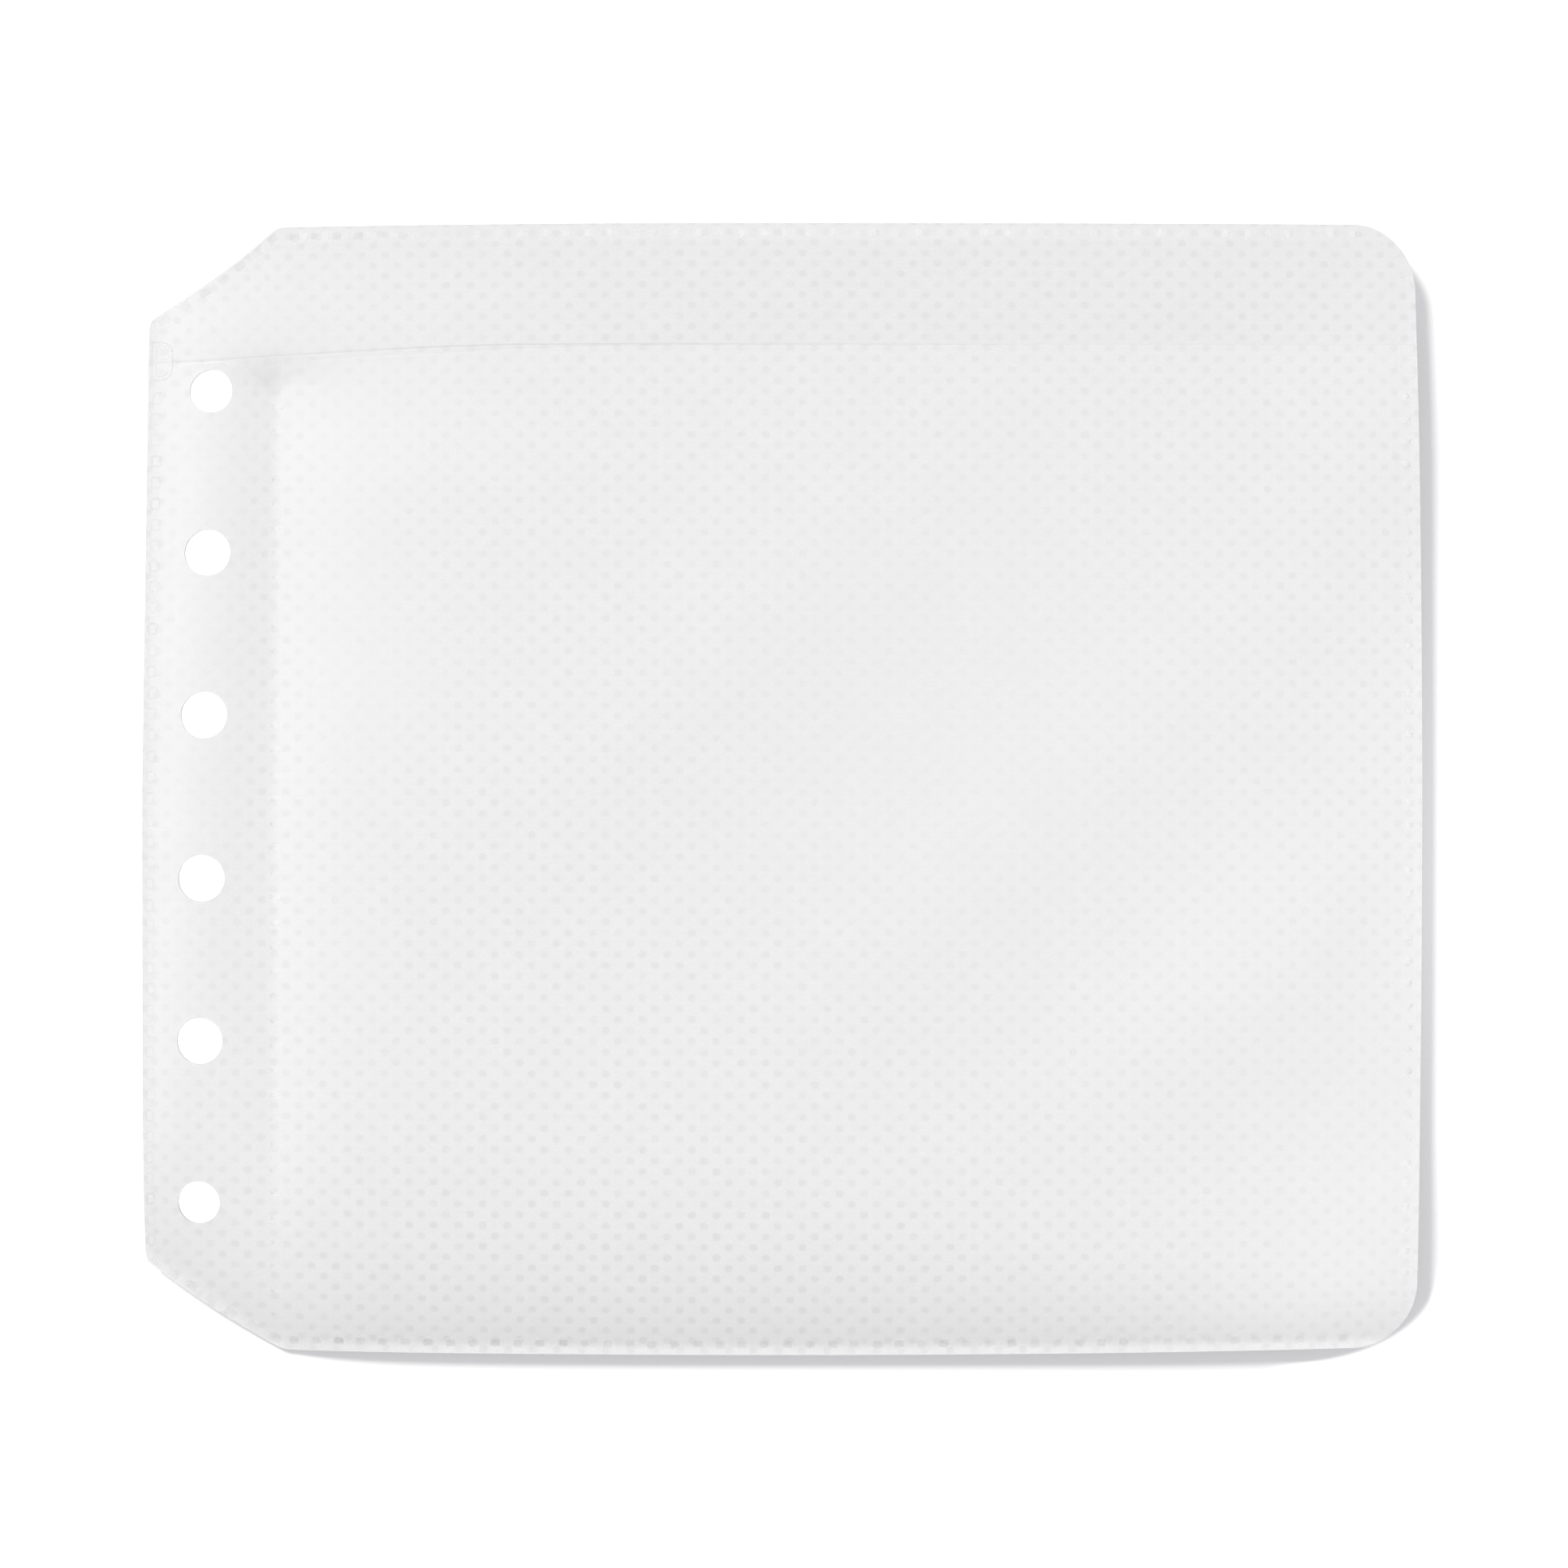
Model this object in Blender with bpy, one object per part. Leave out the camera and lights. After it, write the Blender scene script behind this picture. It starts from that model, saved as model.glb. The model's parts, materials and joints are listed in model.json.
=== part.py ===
"""Compact disc binder sleeve: a white liner between two film pockets, with a film flap over each mouth.

Every ply is its own solid, and so is every dotted weld line that holds the plies together.
Units are metres.  The front face looks up (+Z), the mouth is towards +Y and the ring holes are at -X.
The origin is at the middle of the sleeve's underside.
"""

import math

import bmesh
import bpy
from mathutils import Matrix, Vector

MM = 0.001

# Outline of the sleeve
SLEEVE_WIDTH = 150.0 * MM
SLEEVE_HEIGHT = 132.0 * MM
CHAMFER_RUN = 15.5 * MM
CHAMFER_RISE = 10.8 * MM
CHAMFER_ROUNDING = 2.5 * MM
CORNER_RADIUS = 9.5 * MM

# Plies
LINER_THICKNESS = 0.3 * MM
FILM_THICKNESS = 0.2 * MM
POCKET_DEPTH = 1.6 * MM
SEAT_CLEARANCE = 0.3 * MM

# Ring holes, punched through every ply
RING_COUNT = 6
RING_PITCH = 19.05 * MM
RING_HOLE_DIAMETER = 5.8 * MM
RING_HOLE_INSET = 7.0 * MM
RING_COLUMN_DROP = 0.9 * MM
PUNCH_OVERRUN = 1.0 * MM

# Mouth, flap and the seam that closes the pocket beside the ring holes
MOUTH_DROP = 14.4 * MM
MOUTH_SLIT = 0.3 * MM
FLAP_HEM_WIDTH = 2.4 * MM
SEAM_INSET = 15.4 * MM
SEAM_DROP = 2.7 * MM

# Dotted welds
WELD_INSET = 1.2 * MM
WELD_WIDTH = 1.0 * MM
WELD_WEB_HEIGHT = 0.4 * MM
WELD_DOT_LENGTH = 1.1 * MM
WELD_DOT_PITCH = 2.65 * MM

# Pads that fuse both ends of the mouth
PAD_INSET = 1.0 * MM
PAD_WIDTH = 2.4 * MM
PAD_RISE = 2.0 * MM
PAD_REACH = 2.8 * MM
PAD_ROUNDING = 1.1 * MM

# Facets of the round stretches
CORNER_FACETS = 8
ROUNDING_FACETS = 3
HOLE_FACETS = 24
FLAT_ANGLE = math.radians(0.1)

# Colours
LINER_COLOUR = (0.83, 0.84, 0.85)
FILM_COLOUR = (0.86, 0.87, 0.89)
WELD_COLOUR = (0.80, 0.81, 0.83)

# Places that follow from the sizes
RIGHT = SLEEVE_WIDTH / 2
TOP = SLEEVE_HEIGHT / 2
LEFT = -RIGHT
BOTTOM = -TOP
MID_PLANE = LINER_THICKNESS / 2 + POCKET_DEPTH + FILM_THICKNESS
LINER_FACE = LINER_THICKNESS / 2
FILM_INNER_FACE = LINER_FACE + POCKET_DEPTH
FILM_OUTER_FACE = FILM_INNER_FACE + FILM_THICKNESS
WELD_BASE = LINER_FACE + SEAT_CLEARANCE
WELD_DOT_HEIGHT = POCKET_DEPTH - 2 * SEAT_CLEARANCE
MOUTH_LINE = TOP - MOUTH_DROP
HEM_LINE = TOP - FLAP_HEM_WIDTH
HINGE_LINE = HEM_LINE - SEAT_CLEARANCE
WELD_END_TRIM = (WELD_WIDTH + SEAT_CLEARANCE) / 2

FRONT = 1
BACK = -1
SIDE_NAMES = {FRONT: "front", BACK: "back"}


def clear_scene():
    """Removes whatever the scene holds."""
    for scene_object in list(bpy.data.objects):
        bpy.data.objects.remove(scene_object, do_unlink=True)


def make_finish(name, colour, roughness, alpha=1.0):
    """Makes a plain Principled material."""
    finish = bpy.data.materials.new(name)
    finish.use_nodes = True
    shader = finish.node_tree.nodes["Principled BSDF"]
    shader.inputs["Base Color"].default_value = (*colour, 1.0)
    shader.inputs["Roughness"].default_value = roughness
    shader.inputs["Metallic"].default_value = 0.0
    shader.inputs["Alpha"].default_value = alpha
    return finish


def liner_finish(name):
    """Soft matt white of the nonwoven liner."""
    return make_finish(name, LINER_COLOUR, roughness=0.9)


def film_finish(name):
    """Satin translucent film."""
    return make_finish(name, FILM_COLOUR, roughness=0.35, alpha=0.55)


def weld_finish(name):
    """Film and liner melted together."""
    return make_finish(name, WELD_COLOUR, roughness=0.3)


def add_object(name, mesh_builder, finish, origin=Vector()):
    """Turns a bmesh in world coordinates into a named object whose origin is at the given point."""
    bmesh.ops.recalc_face_normals(mesh_builder, faces=mesh_builder.faces)
    bmesh.ops.transform(mesh_builder, matrix=Matrix.Translation(-origin), verts=mesh_builder.verts)
    mesh = bpy.data.meshes.new(name)
    mesh_builder.to_mesh(mesh)
    mesh_builder.free()
    mesh.materials.append(finish)
    new_object = bpy.data.objects.new(name, mesh)
    new_object.location = origin
    bpy.context.collection.objects.link(new_object)
    return new_object


def height(side, offset):
    """World height of a place that lies this far out from the liner's middle on one side."""
    return MID_PLANE + side * offset


def arc_points(centre, radius, start_angle, end_angle, facets):
    """Points along an arc, both ends included."""
    points = []
    for step in range(facets + 1):
        angle = start_angle + (end_angle - start_angle) * step / facets
        points.append(Vector((centre.x + radius * math.cos(angle), centre.y + radius * math.sin(angle))))
    return points


def rounded_corner(before, corner, after, radius, facets):
    """Points of the arc that rounds one corner of an outline that runs anticlockwise."""
    to_before = (before - corner).normalized()
    to_after = (after - corner).normalized()
    half_angle = to_before.angle(to_after) / 2
    centre = corner + (to_before + to_after).normalized() * (radius / math.sin(half_angle))
    tangent = radius / math.tan(half_angle)
    start = corner + to_before * tangent - centre
    turn = math.pi - 2 * half_angle
    start_angle = math.atan2(start.y, start.x)
    return arc_points(centre, radius, start_angle, start_angle + turn, facets)


def sleeve_corners():
    """Sharp corners of the sleeve, anticlockwise from the lower left, each with its rounding and facets."""
    return [
        (Vector((LEFT, BOTTOM + CHAMFER_RISE)), CHAMFER_ROUNDING, ROUNDING_FACETS),
        (Vector((LEFT + CHAMFER_RUN, BOTTOM)), CHAMFER_ROUNDING, ROUNDING_FACETS),
        (Vector((RIGHT, BOTTOM)), CORNER_RADIUS, CORNER_FACETS),
        (Vector((RIGHT, TOP)), CORNER_RADIUS, CORNER_FACETS),
        (Vector((LEFT + CHAMFER_RUN, TOP)), CHAMFER_ROUNDING, ROUNDING_FACETS),
        (Vector((LEFT, TOP - CHAMFER_RISE)), CHAMFER_ROUNDING, ROUNDING_FACETS),
    ]


def sleeve_outline():
    """Cut edge of the whole sleeve."""
    corners = sleeve_corners()
    points = []
    for index, (corner, radius, facets) in enumerate(corners):
        before = corners[index - 1][0]
        after = corners[(index + 1) % len(corners)][0]
        points.extend(rounded_corner(before, corner, after, radius, facets))
    return points


def cut_flat(sheet, point, normal, drop_behind=False, drop_ahead=False):
    """Cuts a flat sheet along a straight line, and drops what lies on one side of it where asked."""
    bmesh.ops.bisect_plane(
        sheet,
        geom=sheet.verts[:] + sheet.edges[:] + sheet.faces[:],
        plane_co=point,
        plane_no=normal,
        clear_inner=drop_behind,
        clear_outer=drop_ahead,
    )


def raise_faces(builder, faces, rise):
    """Extrudes faces straight up and returns the new, lifted faces."""
    raised = bmesh.ops.extrude_face_region(builder, geom=faces)
    lifted = [item for item in raised["geom"] if isinstance(item, bmesh.types.BMVert)]
    bmesh.ops.translate(builder, vec=(0, 0, rise), verts=lifted)
    return [item for item in raised["geom"] if isinstance(item, bmesh.types.BMFace)]


def raise_dots(builder, dot_faces, rise):
    """Lifts weld dots out of a closed web, then joins the flat faces that the dots split."""
    raise_faces(builder, dot_faces, rise)
    bmesh.ops.delete(builder, geom=dot_faces, context="FACES_ONLY")
    bmesh.ops.recalc_face_normals(builder, faces=builder.faces)
    bmesh.ops.dissolve_limit(builder, angle_limit=FLAT_ANGLE, verts=builder.verts, edges=builder.edges)


def flat_sheet(outline, level, keep_above=None, keep_below=None):
    """Face with the given outline, cut off along straight lines across the sleeve where asked."""
    sheet = bmesh.new()
    sheet.faces.new([sheet.verts.new((point.x, point.y, level)) for point in outline])
    if keep_above is not None:
        cut_flat(sheet, (0, keep_above, 0), (0, 1, 0), drop_behind=True)
    if keep_below is not None:
        cut_flat(sheet, (0, keep_below, 0), (0, 1, 0), drop_ahead=True)
    return sheet


def plate_mesh(outline, low, high, keep_above=None, keep_below=None):
    """Flat ply with the given outline."""
    sheet = flat_sheet(outline, low, keep_above, keep_below)
    raise_faces(sheet, sheet.faces[:], high - low)
    return sheet


def make_ring_punch():
    """Six round punches on the ring pitch, which cut every ply in one stroke."""
    punch = bmesh.new()
    length = 2 * (MID_PLANE + PUNCH_OVERRUN)
    for index in range(RING_COUNT):
        along = (index - (RING_COUNT - 1) / 2) * RING_PITCH - RING_COLUMN_DROP
        bmesh.ops.create_cone(
            punch,
            cap_ends=True,
            segments=HOLE_FACETS,
            radius1=RING_HOLE_DIAMETER / 2,
            radius2=RING_HOLE_DIAMETER / 2,
            depth=length,
            matrix=Matrix.Translation((LEFT + RING_HOLE_INSET, along, MID_PLANE)),
        )
    cutter = add_object("ring_punch", punch, weld_finish("ring_punch"))
    cutter.hide_render = True
    cutter.display_type = "WIRE"
    return cutter


def punch_ring_holes(ply, cutter):
    """Cuts the ring holes through one ply."""
    cut = ply.modifiers.new("ring_holes", "BOOLEAN")
    cut.operation = "DIFFERENCE"
    cut.solver = "EXACT"
    cut.object = cutter


def path_stations(path):
    """Distance of each point of a path from its start."""
    distances = [0.0]
    for start, end in zip(path, path[1:]):
        distances.append(distances[-1] + (end - start).length)
    return distances


def point_on_path(path, distances, distance):
    """Point of a path, and its left-hand normal there."""
    last = len(path) - 2
    index = 0
    while index < last and distances[index + 1] < distance:
        index += 1
    along = (path[index + 1] - path[index]).normalized()
    normal = Vector((-along.y, along.x))
    return path[index] + along * (distance - distances[index]), normal


def trim_path(path, start_trim, end_trim):
    """Shortens a path at both ends."""
    distances = path_stations(path)
    first = start_trim
    last = distances[-1] - end_trim
    kept = [point_on_path(path, distances, first)[0]]
    kept.extend(point for point, distance in zip(path, distances) if first < distance < last)
    kept.append(point_on_path(path, distances, last)[0])
    return kept


def clip_rising_path(path, low, high):
    """Keeps the stretch of a rising path that lies between two lines across the sleeve."""
    kept = []
    for start, end in zip(path, path[1:]):
        for level in (low, high):
            if start.y < level <= end.y:
                kept.append(start.lerp(end, (level - start.y) / (end.y - start.y)))
        if low < end.y < high:
            kept.append(end)
    return sorted(kept, key=lambda point: point.y)


def dot_spans(length):
    """Start and end of each weld dot along a run, centred on the run."""
    room = length - 2 * SEAT_CLEARANCE - WELD_DOT_LENGTH
    count = int(room / WELD_DOT_PITCH) + 1
    first = (length - (count - 1) * WELD_DOT_PITCH - WELD_DOT_LENGTH) / 2
    starts = [first + index * WELD_DOT_PITCH for index in range(count)]
    return [(start, start + WELD_DOT_LENGTH) for start in starts]


def weld_mesh(path, width, base, web_top, dot_top):
    """Low web along a path with a row of taller dots on it, as one body."""
    distances = path_stations(path)
    spans = dot_spans(distances[-1])
    stations = sorted(set(distances) | {edge for span in spans for edge in span})
    weld = bmesh.new()
    rings = []
    for station in stations:
        point, normal = point_on_path(path, distances, station)
        left = point + normal * (width / 2)
        right = point - normal * (width / 2)
        corners = [(left, base), (right, base), (right, web_top), (left, web_top)]
        rings.append([weld.verts.new((place.x, place.y, level)) for place, level in corners])
    dot_faces = []
    for index, (ring, following) in enumerate(zip(rings, rings[1:])):
        middle = (stations[index] + stations[index + 1]) / 2
        for side in range(4):
            turn = (side + 1) % 4
            face = weld.faces.new((ring[side], following[side], following[turn], ring[turn]))
            if side == 2 and any(start < middle < end for start, end in spans):
                dot_faces.append(face)
    weld.faces.new(rings[0])
    weld.faces.new(rings[-1])
    raise_dots(weld, dot_faces, dot_top - web_top)
    return weld


def inset_corner(corner_index):
    """Corner of the weld line, which runs inside the cut edge at the weld inset."""
    corners = [corner for corner, radius, facets in sleeve_corners()]
    corner = corners[corner_index]
    to_before = (corners[corner_index - 1] - corner).normalized()
    to_after = (corners[(corner_index + 1) % len(corners)] - corner).normalized()
    half_angle = to_before.angle(to_after) / 2
    return corner + (to_before + to_after).normalized() * (WELD_INSET / math.sin(half_angle))


def seam_foot(seam_x, chamfer_end):
    """Height where the pocket seam stops, clear of the bottom weld and of the weld along the lower chamfer."""
    slope = CHAMFER_RISE / CHAMFER_RUN
    reach = WELD_WIDTH / 2 + SEAT_CLEARANCE
    above_bottom_weld = chamfer_end.y + reach
    chamfer_line = chamfer_end.y + (chamfer_end.x - seam_x + WELD_WIDTH / 2) * slope
    above_chamfer_weld = chamfer_line + reach * math.hypot(1.0, slope)
    return max(above_bottom_weld, above_chamfer_weld)


def weld_paths():
    """Middle lines of the welds on one side, named by where they lie."""
    lower_chamfer_start = inset_corner(0)
    lower_chamfer_end = inset_corner(1)
    upper_chamfer_end = inset_corner(4)
    upper_chamfer_start = inset_corner(5)
    arc_radius = CORNER_RADIUS - WELD_INSET
    lower_centre = Vector((RIGHT - CORNER_RADIUS, BOTTOM + CORNER_RADIUS))
    upper_centre = Vector((RIGHT - CORNER_RADIUS, TOP - CORNER_RADIUS))
    lower_arc = arc_points(lower_centre, arc_radius, -math.pi / 2, 0.0, CORNER_FACETS)
    upper_arc = arc_points(upper_centre, arc_radius, 0.0, math.pi / 2, CORNER_FACETS)
    pad_top = MOUTH_LINE + PAD_RISE + SEAT_CLEARANCE
    pad_foot = MOUTH_LINE - PAD_REACH - SEAT_CLEARANCE
    seam_x = LEFT + SEAM_INSET
    left_x = LEFT + WELD_INSET
    right_x = RIGHT - WELD_INSET
    hem_foot = HEM_LINE - SEAT_CLEARANCE - WELD_WIDTH / 2
    upper_left_rise = [Vector((left_x, MOUTH_LINE)), upper_chamfer_start, upper_chamfer_end]
    upper_right_rise = [Vector((right_x, MOUTH_LINE))] + upper_arc
    trim = WELD_END_TRIM
    return {
        "left_edge_weld": trim_path([lower_chamfer_start, Vector((left_x, pad_foot))], trim, 0.0),
        "lower_left_corner_weld": trim_path([lower_chamfer_start, lower_chamfer_end], trim, trim),
        "bottom_edge_weld": trim_path([lower_chamfer_end, lower_arc[0]], trim, trim),
        "lower_right_corner_weld": trim_path(lower_arc, trim, trim),
        "right_edge_weld": trim_path([lower_arc[-1], Vector((right_x, pad_foot))], trim, 0.0),
        "upper_right_corner_weld": clip_rising_path(upper_right_rise, pad_top, hem_foot),
        "upper_left_corner_weld": clip_rising_path(upper_left_rise, pad_top, hem_foot),
        "pocket_seam_weld": [
            Vector((seam_x, seam_foot(seam_x, lower_chamfer_end))),
            Vector((seam_x, MOUTH_LINE - SEAM_DROP)),
        ],
    }


def make_welds(side):
    """Dotted welds between the liner and the films on one side."""
    base = height(side, WELD_BASE)
    web_top = height(side, WELD_BASE + WELD_WEB_HEIGHT)
    dot_top = height(side, WELD_BASE + WELD_DOT_HEIGHT)
    for weld_name, path in weld_paths().items():
        name = f"{SIDE_NAMES[side]}_{weld_name}"
        add_object(name, weld_mesh(path, WELD_WIDTH, base, web_top, dot_top), weld_finish(name))


def make_flap_hem(side):
    """Hem along the top edge, where the flap's film is welded down to the liner."""
    name = f"{SIDE_NAMES[side]}_flap_hem"
    base = height(side, WELD_BASE)
    web_top = height(side, FILM_INNER_FACE)
    dot_top = height(side, FILM_OUTER_FACE)
    row_start = LEFT + CHAMFER_RUN + WELD_INSET
    row_length = RIGHT - CORNER_RADIUS - row_start
    spans = [(row_start + start, row_start + end) for start, end in dot_spans(row_length)]
    hem = flat_sheet(sleeve_outline(), base, keep_above=HEM_LINE)
    for edge in [edge for span in spans for edge in span]:
        cut_flat(hem, (edge, 0, 0), (1, 0, 0))
    web_faces = raise_faces(hem, hem.faces[:], web_top - base)
    dot_faces = []
    for face in web_faces:
        middle = face.calc_center_median().x
        if any(start < middle < end for start, end in spans):
            dot_faces.append(face)
    raise_dots(hem, dot_faces, dot_top - web_top)
    add_object(name, hem, weld_finish(name))


def make_mouth_pads(side):
    """Rounded pads that fuse flap, pocket film and liner at both ends of the mouth."""
    base = height(side, WELD_BASE)
    pad_face = height(side, WELD_BASE + WELD_DOT_HEIGHT)
    pad_low = MOUTH_LINE - PAD_REACH
    pad_high = MOUTH_LINE + PAD_RISE
    starts = {"left": LEFT + PAD_INSET, "right": RIGHT - PAD_INSET - PAD_WIDTH}
    for end, start in starts.items():
        name = f"{SIDE_NAMES[side]}_mouth_pad_{end}"
        corners = [
            Vector((start, pad_low)),
            Vector((start + PAD_WIDTH, pad_low)),
            Vector((start + PAD_WIDTH, pad_high)),
            Vector((start, pad_high)),
        ]
        outline = []
        for index, corner in enumerate(corners):
            after = corners[(index + 1) % len(corners)]
            outline.extend(rounded_corner(corners[index - 1], corner, after, PAD_ROUNDING, ROUNDING_FACETS))
        add_object(name, plate_mesh(outline, base, pad_face), weld_finish(name))


def make_liner(cutter):
    """Nonwoven liner in the middle of the sleeve."""
    sheet = plate_mesh(sleeve_outline(), height(BACK, LINER_FACE), height(FRONT, LINER_FACE))
    punch_ring_holes(add_object("liner", sheet, liner_finish("liner")), cutter)


def make_films(side, cutter):
    """Pocket film below the mouth and the hinged flap film above it, on one side."""
    low, high = sorted((height(side, FILM_INNER_FACE), height(side, FILM_OUTER_FACE)))
    outline = sleeve_outline()
    pocket_name = f"{SIDE_NAMES[side]}_pocket_film"
    pocket = plate_mesh(outline, low, high, keep_below=MOUTH_LINE - MOUTH_SLIT / 2)
    punch_ring_holes(add_object(pocket_name, pocket, film_finish(pocket_name)), cutter)
    flap_name = f"{SIDE_NAMES[side]}_flap_film"
    flap = plate_mesh(outline, low, high, keep_above=MOUTH_LINE + MOUTH_SLIT / 2, keep_below=HINGE_LINE)
    hinge = Vector((0.0, HINGE_LINE, (low + high) / 2))
    punch_ring_holes(add_object(flap_name, flap, film_finish(flap_name), hinge), cutter)


def main():
    """Builds the whole sleeve."""
    clear_scene()
    cutter = make_ring_punch()
    make_liner(cutter)
    for side in (FRONT, BACK):
        make_films(side, cutter)
        make_welds(side)
        make_flap_hem(side)
        make_mouth_pads(side)


main()
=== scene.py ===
import json
import logging
import math
from dataclasses import dataclass
from enum import Enum
from typing import ClassVar

import bpy
import numpy as np
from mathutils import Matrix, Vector


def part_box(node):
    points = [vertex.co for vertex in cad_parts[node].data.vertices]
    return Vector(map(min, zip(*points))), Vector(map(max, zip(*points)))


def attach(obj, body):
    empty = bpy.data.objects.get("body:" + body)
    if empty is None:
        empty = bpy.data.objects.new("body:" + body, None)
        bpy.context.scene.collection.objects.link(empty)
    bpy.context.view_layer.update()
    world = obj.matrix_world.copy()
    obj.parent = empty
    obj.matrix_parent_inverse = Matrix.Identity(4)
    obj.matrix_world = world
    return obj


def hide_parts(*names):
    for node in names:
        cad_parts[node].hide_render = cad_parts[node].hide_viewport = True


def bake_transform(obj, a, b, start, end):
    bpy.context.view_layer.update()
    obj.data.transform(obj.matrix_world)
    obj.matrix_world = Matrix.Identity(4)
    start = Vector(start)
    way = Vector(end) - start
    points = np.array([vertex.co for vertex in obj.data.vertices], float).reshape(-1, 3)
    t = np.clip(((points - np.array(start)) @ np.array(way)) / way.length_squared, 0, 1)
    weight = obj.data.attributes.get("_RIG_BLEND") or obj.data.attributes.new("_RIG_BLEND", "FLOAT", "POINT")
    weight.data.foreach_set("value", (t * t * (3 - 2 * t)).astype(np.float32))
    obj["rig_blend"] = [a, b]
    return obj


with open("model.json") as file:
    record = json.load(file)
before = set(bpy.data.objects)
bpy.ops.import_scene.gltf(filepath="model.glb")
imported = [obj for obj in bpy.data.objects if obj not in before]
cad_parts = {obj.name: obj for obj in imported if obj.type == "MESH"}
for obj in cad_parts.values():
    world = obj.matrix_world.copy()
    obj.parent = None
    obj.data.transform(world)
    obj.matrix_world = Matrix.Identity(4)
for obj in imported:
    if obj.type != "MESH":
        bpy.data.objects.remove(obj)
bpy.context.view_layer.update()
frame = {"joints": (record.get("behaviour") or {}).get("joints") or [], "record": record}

# Sizes below are in millimetres, and meshes are in metres.
MM = 0.001
FLAT_UV = "flat"
LIFT = "lift"
PAINTED_LIP_SHADE = "lip"
PAINTED_LIGHT = "painted_light"
FAINT = "faint"
MELT_AND_PAINTED_SHADE = "melt"
COVER = "cover"
BLEND_WEIGHTS = "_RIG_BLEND"
DOT_SEED = 7
TINY = 1e-6
UPWARD = 0.5
SHEET_SMOOTHING = 40.0
WELD_SMOOTHING = 50.0
FILM_IOR = 1.49
FINE_ROWS = (0.0, 0.03, 0.12, 0.27, 0.47, 0.8, 1.2)
FINE_DETAIL = 3.0
COARSE_DETAIL = 1.0
# Spans of a noise's values that are stretched over a whole range.
NOISE_CORE = (0.3, 0.7)
NOISE_MIDDLE = (0.25, 0.75)
NOISE_WIDE = (0.2, 0.8)

log = logging.getLogger("sleeve")
Pair = tuple[float, float]
Points = list[Pair]
Faces = list[tuple[int, ...]]
Colour = tuple[float, float, float, float]
Material = bpy.types.Material
Piece = bpy.types.Object
Socket = bpy.types.NodeSocket


class Side(Enum):
    """The two faces of the sleeve."""

    FRONT = "front"
    BACK = "back"


class DotStyle(Enum):
    """How a weld dot is pressed: a sunken pit, or a groove round a raised middle."""

    PIT = "pit"
    RING = "ring"


def grey(level: float) -> Colour:
    """Gives an even grey, from 0 for black to 1 for white, as a colour."""
    return (level, level, level, 1.0)


def ease(low: float, high: float, value: np.ndarray) -> np.ndarray:
    """Gives a smooth step from 0 at low to 1 at high.

    Args:
        low: where the step starts.
        high: where the step ends, which may be below low.
        value: the numbers to step.

    Returns:
        The steps, from 0 to 1.
    """
    share = np.clip((value - low) / (high - low), 0.0, 1.0)
    return share * share * (3.0 - 2.0 * share)


def swell_up(distance: np.ndarray, reach: float) -> np.ndarray:
    """Gives a rise from 0 at a weld towards 1 inside it.

    Args:
        distance: distance from the weld.
        reach: distance in which most of the rise happens.

    Returns:
        The rise, from 0 to 1.
    """
    return 1.0 - np.exp(-np.maximum(distance, 0.0) / reach)


def rounded_corner(before: tuple, corner: tuple, after: tuple, radius: float, facets: int = 10) -> Points:
    """Rounds one corner of an outline with an arc.

    Args:
        before: the outline's point before the corner.
        corner: the sharp corner.
        after: the outline's point after the corner.
        radius: the arc's radius.
        facets: the arc's number of straight steps.

    Returns:
        The arc's points, in the outline's direction.
    """
    middle = Vector(corner)
    back = (Vector(before) - middle).normalized()
    ahead = (Vector(after) - middle).normalized()
    half_angle = back.angle(ahead) / 2.0
    centre = middle + (back + ahead).normalized() * (radius / math.sin(half_angle))
    start = middle + back * (radius / math.tan(half_angle)) - centre
    end = middle + ahead * (radius / math.tan(half_angle)) - centre
    turn = start.angle_signed(end)
    first = math.atan2(start.y, start.x)
    points = []
    for step in range(facets + 1):
        angle = first - turn * step / facets
        points.append((centre.x + radius * math.cos(angle), centre.y + radius * math.sin(angle)))
    return points


@dataclass(frozen=True)
class Swell:
    """A soft rise in a sheet, longer one way than the other."""

    centre: Pair
    reach: Pair
    turn: float
    rise: float

    def height(self, x: np.ndarray, y: np.ndarray) -> np.ndarray:
        """Gives the rise at each place.

        Args:
            x: places along the width.
            y: places along the height.

        Returns:
            The rise at each place.
        """
        angle = math.radians(self.turn)
        along = (x - self.centre[0]) * math.cos(angle) + (y - self.centre[1]) * math.sin(angle)
        across = (y - self.centre[1]) * math.cos(angle) - (x - self.centre[0]) * math.sin(angle)
        return self.rise * np.exp(-((along / self.reach[0]) ** 2) - (across / self.reach[1]) ** 2)


@dataclass(frozen=True)
class BondLattice:
    """The lattice of bond points that is pressed into the fleece."""

    pitch: float = 2.87
    row_gap: float = 1.263
    shift_x: float = -0.70
    shift_y: float = -0.35
    depth: float = 0.009

    def relief(self, x: np.ndarray, y: np.ndarray) -> np.ndarray:
        """Gives the quilted height, lowest at the bond points, from flat places on the cloth.

        Args:
            x: places along the width.
            y: places along the height.

        Returns:
            The height at each place, from below 0 to above it.
        """
        turn = 2.0 * math.pi
        along = np.cos(turn * (x - self.shift_x) / self.pitch)
        return -self.depth * along * np.cos(turn * (y - self.shift_y) / (2.0 * self.row_gap))


@dataclass(frozen=True)
class EdgeDrop:
    """How far, and how gently, the plies fall towards an edge."""

    depth: float
    reach: float
    flange: float = 1.0

    def fall(self, gap: np.ndarray) -> np.ndarray:
        """Gives the fall at each distance from the edge, level on the flange outside the weld."""
        return self.depth * np.exp(-np.maximum(gap - self.flange, 0.0) / self.reach)


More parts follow.
